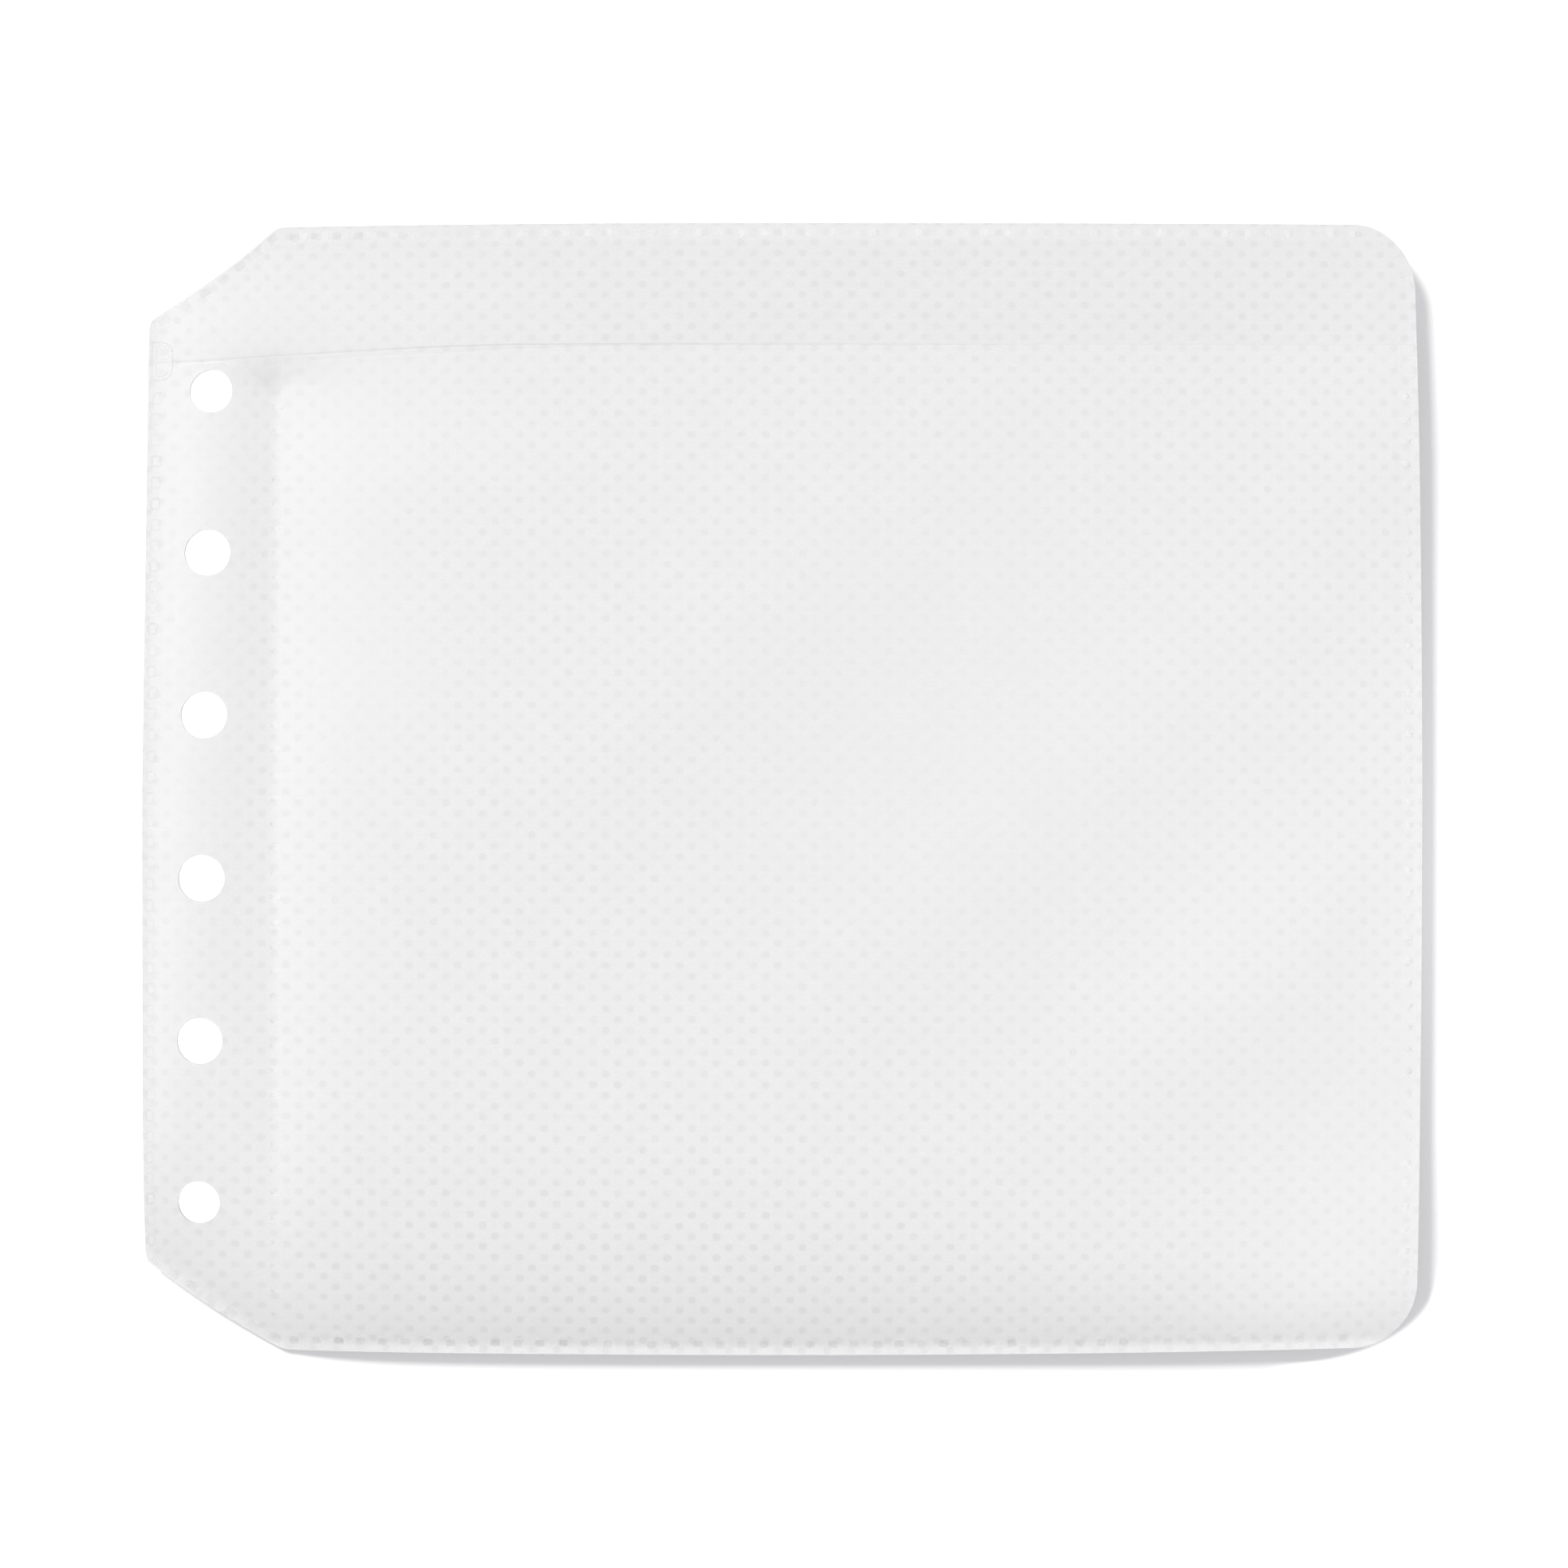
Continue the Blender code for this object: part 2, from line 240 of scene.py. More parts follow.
@dataclass(frozen=True)
class SleeveForm:
    """The sleeve's outline and how its plies lie: pinched at the welds, full between them."""

    half_width: float
    half_height: float
    seam_line: float
    mouth_line: float
    hole_places: tuple[Pair, ...]
    hole_radius: float = 2.7
    chamfer_run: float = 15.5
    chamfer_rise: float = 10.8
    lower_run: float = 16.1
    lower_rise: float = 10.4
    side_rounding: float = 1.9
    end_rounding: float = 3.8
    corner_radius: float = 7.6
    edge_height: float = 2.2
    middle_height: float = 4.35
    bottom_drop: EdgeDrop = EdgeDrop(2.4, 8.3)
    top_drop: EdgeDrop = EdgeDrop(0.15, 26.0)
    right_drop: EdgeDrop = EdgeDrop(1.7, 38.0)
    left_drop: EdgeDrop = EdgeDrop(0.7, 5.0)
    upper_chamfer_drop: EdgeDrop = EdgeDrop(0.1, 6.0)
    lower_chamfer_drop: EdgeDrop = EdgeDrop(3.2, 8.0)
    seam_drop: EdgeDrop = EdgeDrop(0.55, 6.5, 0.0)
    drop_sharing: float = 3.0
    liner_thickness: float = 0.25
    film_thickness: float = 0.08
    film_clearance: float = 0.06
    haze_lift: float = 0.36
    edge_draw: float = 0.5
    draw_reach: float = 17.0
    liner_swells: tuple[Swell, ...] = (
        Swell((-12.0, 12.0), (46.0, 11.0), 41.0, 0.15),
        Swell((28.0, -6.0), (42.0, 10.0), 41.0, 0.14),
        Swell((52.0, -24.0), (26.0, 9.0), 40.0, 0.20),
        Swell((-38.0, -34.0), (24.0, 12.0), 40.0, 0.10),
    )
    edge_swells: tuple[Swell, ...] = (
        Swell((52.0, -66.0), (26.0, 12.0), 0.0, 0.45),
        Swell((75.0, -52.0), (16.0, 10.0), 0.0, 0.45),
        Swell((75.0, 44.0), (14.0, 16.0), 0.0, 0.50),
    )
    film_swells: tuple[Swell, ...] = (
        Swell((-71.6, 0.0), (3.2, 46.0), 0.0, 0.32),
        Swell((-66.0, 22.0), (8.0, 40.0), 0.0, 0.32),
        Swell((-62.0, 56.0), (14.0, 8.0), 25.0, 0.15),
        Swell((-52.0, 30.0), (8.0, 24.0), 0.0, 0.24),
        Swell((-48.0, 12.0), (16.0, 9.0), 35.0, 0.20),
        Swell((-51.0, -18.0), (8.0, 18.0), 0.0, 0.16),
        Swell((58.0, -19.0), (24.0, 18.0), 25.0, 0.08),
        Swell((66.0, -45.0), (12.0, 20.0), 0.0, 0.05),
        Swell((16.0, 6.0), (55.0, 36.0), 20.0, 0.15),
    )
    # Patches of painted light: in them the fleece is painted lighter than its own white, to brighten the
    # sleeve's shading.
    painted_light_patches: tuple[Swell, ...] = (
        Swell((66.0, -6.0), (34.0, 48.0), 0.0, 0.36),
        Swell((76.0, -6.0), (9.0, 48.0), 0.0, 0.50),
        Swell((70.0, -61.0), (12.0, 8.0), 0.0, 0.95),
        Swell((56.0, -63.0), (11.0, 5.0), 0.0, 0.45),
        Swell((52.0, -24.0), (22.0, 14.0), 30.0, 0.15),
        Swell((-59.5, 0.0), (5.0, 52.0), 0.0, 0.45),
        Swell((-50.0, 28.0), (9.0, 26.0), 0.0, 0.30),
        Swell((-46.0, 8.0), (14.0, 9.0), 35.0, 0.20),
        Swell((-46.0, 41.0), (18.0, 8.0), 0.0, 0.45),
        Swell((-50.0, 57.0), (22.0, 6.0), 0.0, 0.40),
        Swell((-70.0, 56.0), (10.0, 8.0), 25.0, 0.40),
        Swell((-71.5, 34.0), (4.0, 26.0), 0.0, 0.35),
        Swell((14.0, 64.8), (60.0, 0.7), 0.0, 0.50),
    )
    faint_share: float = 0.44
    faint_patches: tuple[Swell, ...] = (
        Swell((21.5, 7.0), (24.0, 32.0), 0.0, 0.29),
        Swell((-19.0, -26.0), (34.0, 24.0), 0.0, -0.13),
        Swell((-15.5, -57.0), (48.0, 11.0), 0.0, -0.38),
        Swell((68.0, -43.0), (15.0, 20.0), 0.0, 0.20),
        Swell((-44.0, 45.0), (19.0, 13.0), 0.0, 0.20),
    )
    corner_pulls: tuple[tuple[int, int, float, float], ...] = (
        (-1, 1, 1.00, -0.85),
        (1, 1, -1.10, -0.10),
        (1, -1, -0.80, 0.80),
        (-1, -1, 0.10, 0.58),
    )
    left_pull: float = 0.10
    right_pull: float = 0.40
    bottom_sag: float = 0.26
    hole_lean: float = 0.0128
    hole_shift: float = 0.13
    end_hole_shrink: float = 0.085
    corner_facets: int = 24
    mouth_end_inset: float = 2.0
    mouth_end_drop: float = 1.6
    hold_below: float = 5.0
    hold_above: float = 1.0
    wave_margin: float = 12.0
    pinch_reach: float = 4.0
    seam_reach: float = 4.5
    pad_reach: float = 3.5
    pocket_fill: float = 4.5
    floor_gap: float = 0.02
    flat_margin: float = 2.0
    flat_steps: int = 2001

    def left_chain(self) -> np.ndarray:
        """Gives the left side's points, from the bottom edge up to the top edge.

        Returns:
            One point in each row, with its place along the width and the height.
        """
        wide, tall = self.half_width, self.half_height
        low_end = (-wide + self.lower_run, -tall)
        low_side = (-wide, -tall + self.lower_rise)
        high_side = (-wide, tall - self.chamfer_rise)
        high_end = (-wide + self.chamfer_run, tall)
        points = rounded_corner((0.0, -tall), low_end, low_side, self.end_rounding)
        points += rounded_corner(low_end, low_side, high_side, self.side_rounding)
        points += rounded_corner(low_side, high_side, high_end, self.side_rounding)
        points += rounded_corner(high_side, high_end, (0.0, tall), self.end_rounding)
        return np.array(points)

    def right_chain(self) -> np.ndarray:
        """Gives the right side's points, from the bottom edge up to the top edge.

        Returns:
            One point in each row, with its place along the width and the height.
        """
        wide, tall = self.half_width, self.half_height
        radius, facets = self.corner_radius, self.corner_facets
        points = rounded_corner((0.0, -tall), (wide, -tall), (wide, 0.0), radius, facets)
        points += rounded_corner((wide, 0.0), (wide, tall), (0.0, tall), radius, facets)
        return np.array(points)

    def side_limits(self, y: np.ndarray) -> tuple[np.ndarray, np.ndarray]:
        """Gives the outline's left and right limits at each height.

        Args:
            y: places along the height.

        Returns:
            The left limits and the right limits.
        """
        left, right = self.left_chain(), self.right_chain()
        return np.interp(y, left[:, 1], left[:, 0]), np.interp(y, right[:, 1], right[:, 0])

    def chamfer_gap(self, x: np.ndarray, y: np.ndarray) -> np.ndarray:
        """Gives the distance from the upper cut-off corner's line, or from the lower one's at -y.

        Args:
            x: places along the width.
            y: places along the height.

        Returns:
            The distance at each place, below 0 outside the line.
        """
        slope = math.hypot(self.chamfer_run, self.chamfer_rise)
        reach = self.chamfer_run * (self.half_height - y) + self.chamfer_rise * (x + self.half_width)
        return (reach - self.chamfer_run * self.chamfer_rise) / slope

    def edge_gap(self, x: np.ndarray, y: np.ndarray) -> np.ndarray:
        """Gives the distance from the nearest cut edge.

        Args:
            x: places along the width.
            y: places along the height.

        Returns:
            The distance at each place, below 0 outside the edge.
        """
        gap = np.minimum(self.half_width - np.abs(x), self.half_height - np.abs(y))
        corner_x = x - (self.half_width - self.corner_radius)
        corner_y = np.abs(y) - (self.half_height - self.corner_radius)
        rounded = self.corner_radius - np.hypot(corner_x, corner_y)
        gap = np.where((corner_x > 0.0) & (corner_y > 0.0), rounded, gap)
        return np.minimum(gap, self.chamfer_gap(x, np.abs(y)))

    def hole_share(self, place: Pair) -> float:
        """Gives a ring hole's size against the middle ones, a little less at the ends of the column."""
        furthest = max(abs(hole[1]) for hole in self.hole_places)
        return 1.0 - self.end_hole_shrink * (abs(place[1]) / furthest) ** 4

    def pad_gap(self, x: np.ndarray, y: np.ndarray) -> np.ndarray:
        """Gives the distance from the nearer end of the mouth, where pads fuse it."""
        beside = self.half_width - self.mouth_end_inset - np.abs(x)
        return np.hypot(beside, y - self.mouth_line + self.mouth_end_drop)

    def below_mouth(self, y: np.ndarray) -> np.ndarray:
        """Gives 1 below the mouth, where the seam holds, and 0 above it."""
        return 1.0 - ease(self.mouth_line - self.hold_below, self.mouth_line + self.hold_above, y)

    def fullness(self, x: np.ndarray, y: np.ndarray, reach: float) -> np.ndarray:
        """Gives how full the back pocket lies, from 0 at the welds to 1 in its middle.

        Args:
            x: places along the width.
            y: places along the height.
            reach: distance from a weld in which the pocket fills.

        Returns:
            The fullness at each place.
        """
        held = swell_up(np.abs(x - self.seam_line), reach)
        held = held + (1.0 - held) * (1.0 - self.below_mouth(y))
        return swell_up(self.edge_gap(x, y), reach) * held

    def liner_top(self, x: np.ndarray, y: np.ndarray) -> np.ndarray:
        """Gives the height of the liner's upper face, without its quilting.

        Args:
            x: places along the width.
            y: places along the height.

        Returns:
            The height at each place.
        """
        falls = (
            self.bottom_drop.fall(self.half_height + y),
            self.top_drop.fall(self.half_height - y),
            self.right_drop.fall(self.half_width - x),
            self.left_drop.fall(self.half_width + x),
            self.upper_chamfer_drop.fall(self.chamfer_gap(x, y)),
            self.lower_chamfer_drop.fall(self.chamfer_gap(x, -y)),
            self.seam_drop.fall(np.abs(x - self.seam_line)) * self.below_mouth(y),
        )
        drop = sum(fall**self.drop_sharing for fall in falls) ** (1.0 / self.drop_sharing)
        waves = sum(swell.height(x, y) for swell in self.liner_swells)
        edges = sum(swell.height(x, y) for swell in self.edge_swells)
        inside = ease(0.0, self.wave_margin, self.edge_gap(x, y))
        return self.middle_height - drop + edges + waves * inside

    def film_lift(self, x: np.ndarray, y: np.ndarray) -> np.ndarray:
        """Gives how far the front film stands off the liner.

        Args:
            x: places along the width.
            y: places along the height.

        Returns:
            The lift at each place.
        """
        pinch = 1.0 - np.exp(-((self.edge_gap(x, y) / self.pinch_reach) ** 2))
        held = np.exp(-(((x - self.seam_line) / self.seam_reach) ** 2))
        seam = 1.0 - held * self.below_mouth(y)
        pads = 1.0 - np.exp(-((self.pad_gap(x, y) / self.pad_reach) ** 2))
        waves = sum(swell.height(x, y) for swell in self.film_swells)
        return waves * pinch * seam * pads

    def haze(self, x: np.ndarray, y: np.ndarray) -> np.ndarray:
        """Gives how far the front film hides the fleece, from 0 where it lies close to 1."""
        return np.clip(self.film_lift(x, y) / self.haze_lift, 0.0, 1.0)

    def painted_light(self, x: np.ndarray, y: np.ndarray) -> np.ndarray:
        """Gives how far the fleece is painted lighter, from 0 to 1, as painted light summed from the
        patches.
        """
        return np.clip(sum(patch.height(x, y) for patch in self.painted_light_patches), 0.0, 1.0)

    def faint(self, x: np.ndarray, y: np.ndarray) -> np.ndarray:
        """Gives how far the fleece's bond points fade, from 0 to 1."""
        patches = sum(patch.height(x, y) for patch in self.faint_patches)
        return np.clip(self.faint_share + patches, 0.0, 1.0)

    def front_top(self, x: np.ndarray, y: np.ndarray) -> np.ndarray:
        """Gives the height of the front film's upper face."""
        stack = BondLattice.depth + self.film_clearance + self.film_thickness
        return self.liner_top(x, y) + stack + self.film_lift(x, y)

    def back_bottom(self, x: np.ndarray, y: np.ndarray) -> np.ndarray:
        """Gives the height of the back film's lower face, which sags to the surface under it.

        Args:
            x: places along the width.
            y: places along the height.

        Returns:
            The height at each place.
        """
        stack = BondLattice.depth + self.film_clearance + self.film_thickness
        pinched = self.liner_top(x, y) - self.liner_thickness - stack
        return pinched * (1.0 - self.fullness(x, y, self.pocket_fill)) + self.floor_gap

    def settle(self, x: np.ndarray, y: np.ndarray) -> tuple[np.ndarray, np.ndarray]:
        """Moves flat places to where the lying sleeve has them: corners drawn in, hole strip leaning.

        Args:
            x: places along the width.
            y: places along the height.

        Returns:
            The moved places along the width and along the height.
        """
        across, up = x / self.half_width, y / self.half_height
        new_x, new_y = x.copy(), y.copy()
        for toward_x, toward_y, pull_x, pull_y in self.corner_pulls:
            near_side, near_end = np.maximum(across * toward_x, 0.0), np.maximum(up * toward_y, 0.0)
            new_x += pull_x * near_side**4 * (near_end if toward_x < 0 else near_end**2)
            new_y += pull_y * near_side**2 * near_end**2
        new_x += np.where(x < 0.0, self.left_pull, -self.right_pull) * across**4
        new_y -= self.bottom_sag * np.maximum(-up, 0.0) ** 2 * (1.0 - across**2)
        strip = np.clip((x + self.half_width) / (self.seam_line + self.half_width), 0.0, 1.0)
        new_x += 4.0 * strip * (1.0 - strip) * (self.hole_shift + self.hole_lean * y)
        return new_x, new_y

    def drawn_in(self, flat: np.ndarray, half: float) -> np.ndarray:
        """Draws flat cloth places in towards the edges, where the cloth slopes down.

        Args:
            flat: places on the flat cloth.
            half: half of the sleeve's size along that way.

        Returns:
            The places as seen from above.
        """
        past = np.maximum(np.abs(flat) - (half - self.draw_reach), 0.0) / self.draw_reach
        return flat - np.sign(flat) * self.edge_draw * past**2

    def laid_flat(self, seen: np.ndarray, half: float) -> np.ndarray:
        """Gives the flat cloth places of places as seen from above, the reverse of drawn_in.

        Args:
            seen: places as seen from above.
            half: half of the sleeve's size along that way.

        Returns:
            The flat places.
        """
        end = half + self.flat_margin
        table = np.linspace(-end, end, self.flat_steps)
        return np.interp(seen, self.drawn_in(table, half), table)


@dataclass(frozen=True)
class HighlightPleatPlan:
    """Where the small raised pleat of film lies beside each weld dot, and its size along and across the row;
    its white cover is a painted highlight beside the dot.
    """

    aside: float
    ahead: float
    size: Pair
    cover: float


@dataclass(frozen=True)
class WeldRow:
    """A row of weld dots along a path, in flat places."""

    name: str
    path: tuple[Pair, ...]
    pitch: float
    dot_size: Pair = (1.0, 0.85)
    style: DotStyle = DotStyle.PIT
    melt: float = 1.0
    rim: float = 0.01
    cover: float = 0.6
    highlight_pleat: HighlightPleatPlan | None = None
    start_cover: float = 0.0
    start_reach: float = 13.0
    pucker: float = 0.02
    pucker_reach: float = 1.5
    pucker_limit: float = 3.0

    def length(self) -> float:
        """Gives the path's length."""
        return sum(math.dist(a, b) for a, b in zip(self.path, self.path[1:]))

    def cover_at(self, centre: Vector) -> float:
        """Gives a dot's cover, which start_cover adds to near the row's start."""
        gone = math.dist(centre, self.path[0]) / self.start_reach
        return self.cover + self.start_cover * math.exp(-(gone**2))

    def spacing(self) -> float:
        """Gives the distance between dots that fills the path evenly."""
        return self.length() / max(1, round(self.length() / self.pitch))

    def stations(self) -> list[tuple[Vector, Vector]]:
        """Gives each dot's centre and its direction along the path.

        Returns:
            A pair of centre and direction for each dot.
        """
        spacing = self.spacing()
        found = []
        due = spacing / 2.0
        travelled = 0.0
        for start, end in zip(self.path, self.path[1:]):
            step = math.dist(start, end)
            direction = (Vector(end) - Vector(start)).normalized()
            while due <= travelled + step:
                found.append((Vector(start) + direction * (due - travelled), direction))
                due += spacing
            travelled += step
        return found

    def ripple(self, x: np.ndarray, y: np.ndarray) -> np.ndarray:
        """Gives how far the film puckers up between the dots.

        Args:
            x: places along the width.
            y: places along the height.

        Returns:
            The pucker's height at each place.
        """
        height = np.zeros_like(x)
        travelled = 0.0
        for start, end in zip(self.path, self.path[1:]):
            step = math.dist(start, end)
            way = ((end[0] - start[0]) / step, (end[1] - start[1]) / step)
            along = (x - start[0]) * way[0] + (y - start[1]) * way[1]
            across = (y - start[1]) * way[0] - (x - start[0]) * way[1]
            near = (along >= 0.0) & (along < step) & (np.abs(across) < self.pucker_limit * self.pucker_reach)
            phase = 2.0 * math.pi * (travelled + along[near]) / self.spacing()
            fade = np.exp(-((across[near] / self.pucker_reach) ** 2))
            height[near] = self.pucker * (0.5 + 0.5 * np.cos(phase)) * fade
            travelled += step
        return height


class Bench:
    """The modelling bench: small shapes made with Blender's own edit tools."""

    @staticmethod
    def clear() -> None:
        """Deselects everything, in object mode."""
        if bpy.context.object and bpy.context.object.mode != "OBJECT":
            bpy.ops.object.mode_set(mode="OBJECT")
        bpy.ops.object.select_all(action="DESELECT")

    @staticmethod
    def pick(piece: Piece) -> None:
        """Makes a piece the active and only selected one.

        Args:
            piece: the piece.
        """
        Bench.clear()
        bpy.context.view_layer.objects.active = piece
        piece.select_set(True)

    @staticmethod
    def block(size: tuple[float, float, float], top: float) -> Piece:
        """Adds a block that is centred in plan, with its sizes applied.

        Args:
            size: the block's sizes.
            top: the height of its upper face.

        Returns:
            The block.
        """
        Bench.clear()
        bpy.ops.mesh.primitive_cube_add(size=1.0, location=(0.0, 0.0, top - size[2] / 2.0))
        block = bpy.context.object
        block.scale = size
        bpy.ops.object.transform_apply(location=True, rotation=True, scale=True)
        return block

    @staticmethod
    def select_top(block: Piece) -> None:
        """Selects the highest faces that look up, and leaves the block in edit mode.

        Args:
            block: the block.
        """
        bpy.ops.object.mode_set(mode="OBJECT")
        mesh = block.data
        for part in (mesh.vertices, mesh.edges, mesh.polygons):
            part.foreach_set("select", [False] * len(part))
        highest = max(face.center.z for face in mesh.polygons)
        for face in mesh.polygons:
            face.select = face.normal.z > UPWARD and face.center.z > highest - TINY
        bpy.ops.object.mode_set(mode="EDIT")
        bpy.ops.mesh.select_mode(type="FACE")

    @staticmethod
    def round_corners(block: Piece, radius: float, segments: int, right_only: bool) -> None:
        """Rounds a block's upright edges.

        Args:
            block: the block.
            radius: the rounding's radius.
            segments: the rounding's number of faces.
            right_only: whether only the edges towards +X are rounded.
        """
        bpy.ops.object.mode_set(mode="EDIT")
        bpy.ops.mesh.select_mode(type="EDGE")
        bpy.ops.mesh.select_all(action="DESELECT")
        bpy.ops.object.mode_set(mode="OBJECT")
        for edge in block.data.edges:
            ends = [block.data.vertices[index].co for index in edge.vertices]
            upright = (ends[0] - ends[1]).xy.length < TINY
            edge.select = upright and (ends[0].x > 0.0 or not right_only)
        bpy.ops.object.mode_set(mode="EDIT")
        bpy.ops.mesh.bevel(offset=radius, segments=segments, affect="EDGES")

    @staticmethod
    def take(block: Piece) -> tuple[np.ndarray, Faces]:
        """Reads a finished shape's points and faces, and takes it off the bench.

        Args:
            block: the shape.

        Returns:
            The points and the faces.
        """
        bpy.ops.object.mode_set(mode="OBJECT")
        points = np.array([vertex.co[:] for vertex in block.data.vertices])
        faces = [tuple(face.vertices) for face in block.data.polygons]
        mesh = block.data
        bpy.data.objects.remove(block)
        bpy.data.meshes.remove(mesh)
        return points, faces


@dataclass(frozen=True)
class Step:
    """One ring of a stamp: how far in it lies, its height, its cover and its share of melted grey."""

    inset: float
    height: float
    cover: float
    melt: float


@dataclass(frozen=True)
class Stamp:
    """A small weld shape, modelled once and copied along the rows, with its root in the fleece."""

    root: ClassVar[float] = 0.30
    root_gap: ClassVar[float] = 0.02
    crest_base: ClassVar[float] = 0.012
    rim_cover_share: ClassVar[float] = 20.0
    rim_cover_limit: ClassVar[float] = 0.45
    dot_round_share: ClassVar[float] = 0.4
    dot_round_extra: ClassVar[float] = 0.2
    highlight_pleat_round_share: ClassVar[float] = 0.3
    wedge_foot: ClassVar[float] = 0.3
    wedge_lean: ClassVar[float] = 0.2
    points: np.ndarray
    faces: Faces
    cover: np.ndarray
    melt: np.ndarray

    @classmethod
    def from_block(cls, block: Piece, steps: tuple[Step, ...]) -> "Stamp":
        """Reads a finished block as a stamp, with cover and melted grey by the height of its rings.

        Args:
            block: the finished block.
            steps: the rings that it was given.

        Returns:
            The stamp.
        """
        points, faces = Bench.take(block)
        heights = np.array([step.height for step in steps])
        ring = np.argmin(np.abs(points[:, 2][:, None] - heights[None, :]), axis=1)
        sunk = points[:, 2] < heights.min() - cls.root_gap
        cover = np.where(sunk, 0.0, np.array([step.cover for step in steps])[ring])
        melt = np.array([step.melt for step in steps])[ring]
        return cls(points, faces, cover, melt)

    @staticmethod
    def raise_rings(block: Piece, steps: tuple[Step, ...]) -> None:
        """Insets a block's top once for each ring, and moves it to the ring's height.

        Args:
            block: the block.
            steps: the rings, with the block's own top first.
        """
        Bench.select_top(block)
        height = steps[0].height
        for step in steps[1:]:
            bpy.ops.mesh.inset(thickness=step.inset)
            bpy.ops.transform.translate(value=(0.0, 0.0, step.height - height))
            height = step.height

    @classmethod
    def dot(cls, size: Pair, style: DotStyle, rim: float) -> "Stamp":
        """Models one weld dot with rounded corners, by insetting and moving the top of a thin block.

        Args:
            size: the length along the row and the width of the dot's pressed middle.
            style: how the dot is pressed.
            rim: the height of its raised ring.

        Returns:
            The finished stamp.
        """
        foot = Step(0.0, 0.010, 0.0, 0.4)
        crest = cls.crest_base + rim
        rim_cover = min(cls.rim_cover_limit, cls.rim_cover_share * rim)
        if style is DotStyle.PIT:
            steps = (
                foot,
                Step(0.22, crest, rim_cover, 0.0),
                Step(0.14, 0.016, 0.55, 0.8),
                Step(0.16, 0.013, 0.65, 1.0),
            )
        else:
            steps = (
                foot,
                Step(0.18, 0.014, 0.50, 1.0),
                Step(0.14, 0.016, 0.45, 0.8),
                Step(0.16, crest, 0.30, 0.0),
            )
        outer = 2.0 * sum(step.inset for step in steps[1:3])
        block = Bench.block((size[0] + outer, size[1] + outer, cls.root), foot.height)
        radius = cls.dot_round_share * size[1] + cls.dot_round_extra
        Bench.round_corners(block, radius, segments=3, right_only=False)
        cls.raise_rings(block, steps)
        return cls.from_block(block, steps)

    @classmethod
    def highlight_pleat(cls, size: Pair) -> "Stamp":
        """Models the small raised pleat of film beside a weld dot, whose white cover is a painted highlight.

        Args:
            size: the pleat's width along the row and its length across it.

        Returns:
            The finished stamp.
        """
        steps = (
            Step(0.00, 0.010, 0.00, 0.0),
            Step(0.14, 0.028, 0.45, 0.0),
            Step(0.10, 0.040, 0.60, 0.0),
        )
        block = Bench.block((size[0], size[1], cls.root), steps[0].height)
        Bench.round_corners(block, cls.highlight_pleat_round_share * size[1], segments=2, right_only=False)
        cls.raise_rings(block, steps)
        return cls.from_block(block, steps)

    @classmethod
    def mouth_pad(cls, size: Pair, rounding: float) -> "Stamp":
        """Models the D-shaped pad that fuses one end of the mouth, with two pressed cells.

        Args:
            size: the pad's width and height.
            rounding: the radius of its two inner corners.

        Returns:
            The finished stamp, with its round side towards +X.
        """
        steps = (
            Step(0.00, 0.010, 0.00, 0.5),
            Step(0.20, 0.014, 0.45, 0.8),
            Step(0.18, 0.035, 0.20, 0.0),
            Step(0.20, 0.016, 0.40, 0.5),
            Step(0.18, 0.022, 0.15, 0.1),
        )
        block = Bench.block((size[0], size[1], cls.root), steps[0].height)
        Bench.round_corners(block, rounding, segments=5, right_only=True)
        cls.raise_rings(block, steps[:3])
        Bench.select_top(block)
        bpy.ops.mesh.bisect(plane_co=(0.0, 0.0, 0.0), plane_no=(0.0, 1.0, 0.0))
        Bench.select_top(block)
        for step, before in zip(steps[3:], steps[2:]):
            bpy.ops.mesh.inset(thickness=step.inset, use_individual=True)
            bpy.ops.transform.translate(value=(0.0, 0.0, step.height - before.height))
        return cls.from_block(block, steps)

    @classmethod
    def seam_head_shade(cls, size: Pair) -> "Stamp":
        """Models the grey wedge at the head of the pocket seam, a weld whose darkness is painted shade of
        the film's pucker there.

        Args:
            size: the wedge's width and height.

        Returns:
            The finished stamp.
        """
        steps = (
            Step(0.00, 0.010, 0.00, 0.6),
            Step(0.30, 0.012, 0.18, 0.6),
            Step(0.30, 0.014, 0.38, 0.7),
            Step(0.25, 0.016, 0.48, 0.8),
        )
        block = Bench.block((size[0], size[1], cls.root), steps[0].height)
        bpy.ops.object.mode_set(mode="OBJECT")
        for vertex in block.data.vertices:
            if vertex.co.y < 0.0:
                vertex.co.x *= cls.wedge_foot
            elif vertex.co.x > 0.0:
                vertex.co.y += cls.wedge_lean * size[1]
        cls.raise_rings(block, steps)
        return cls.from_block(block, steps)


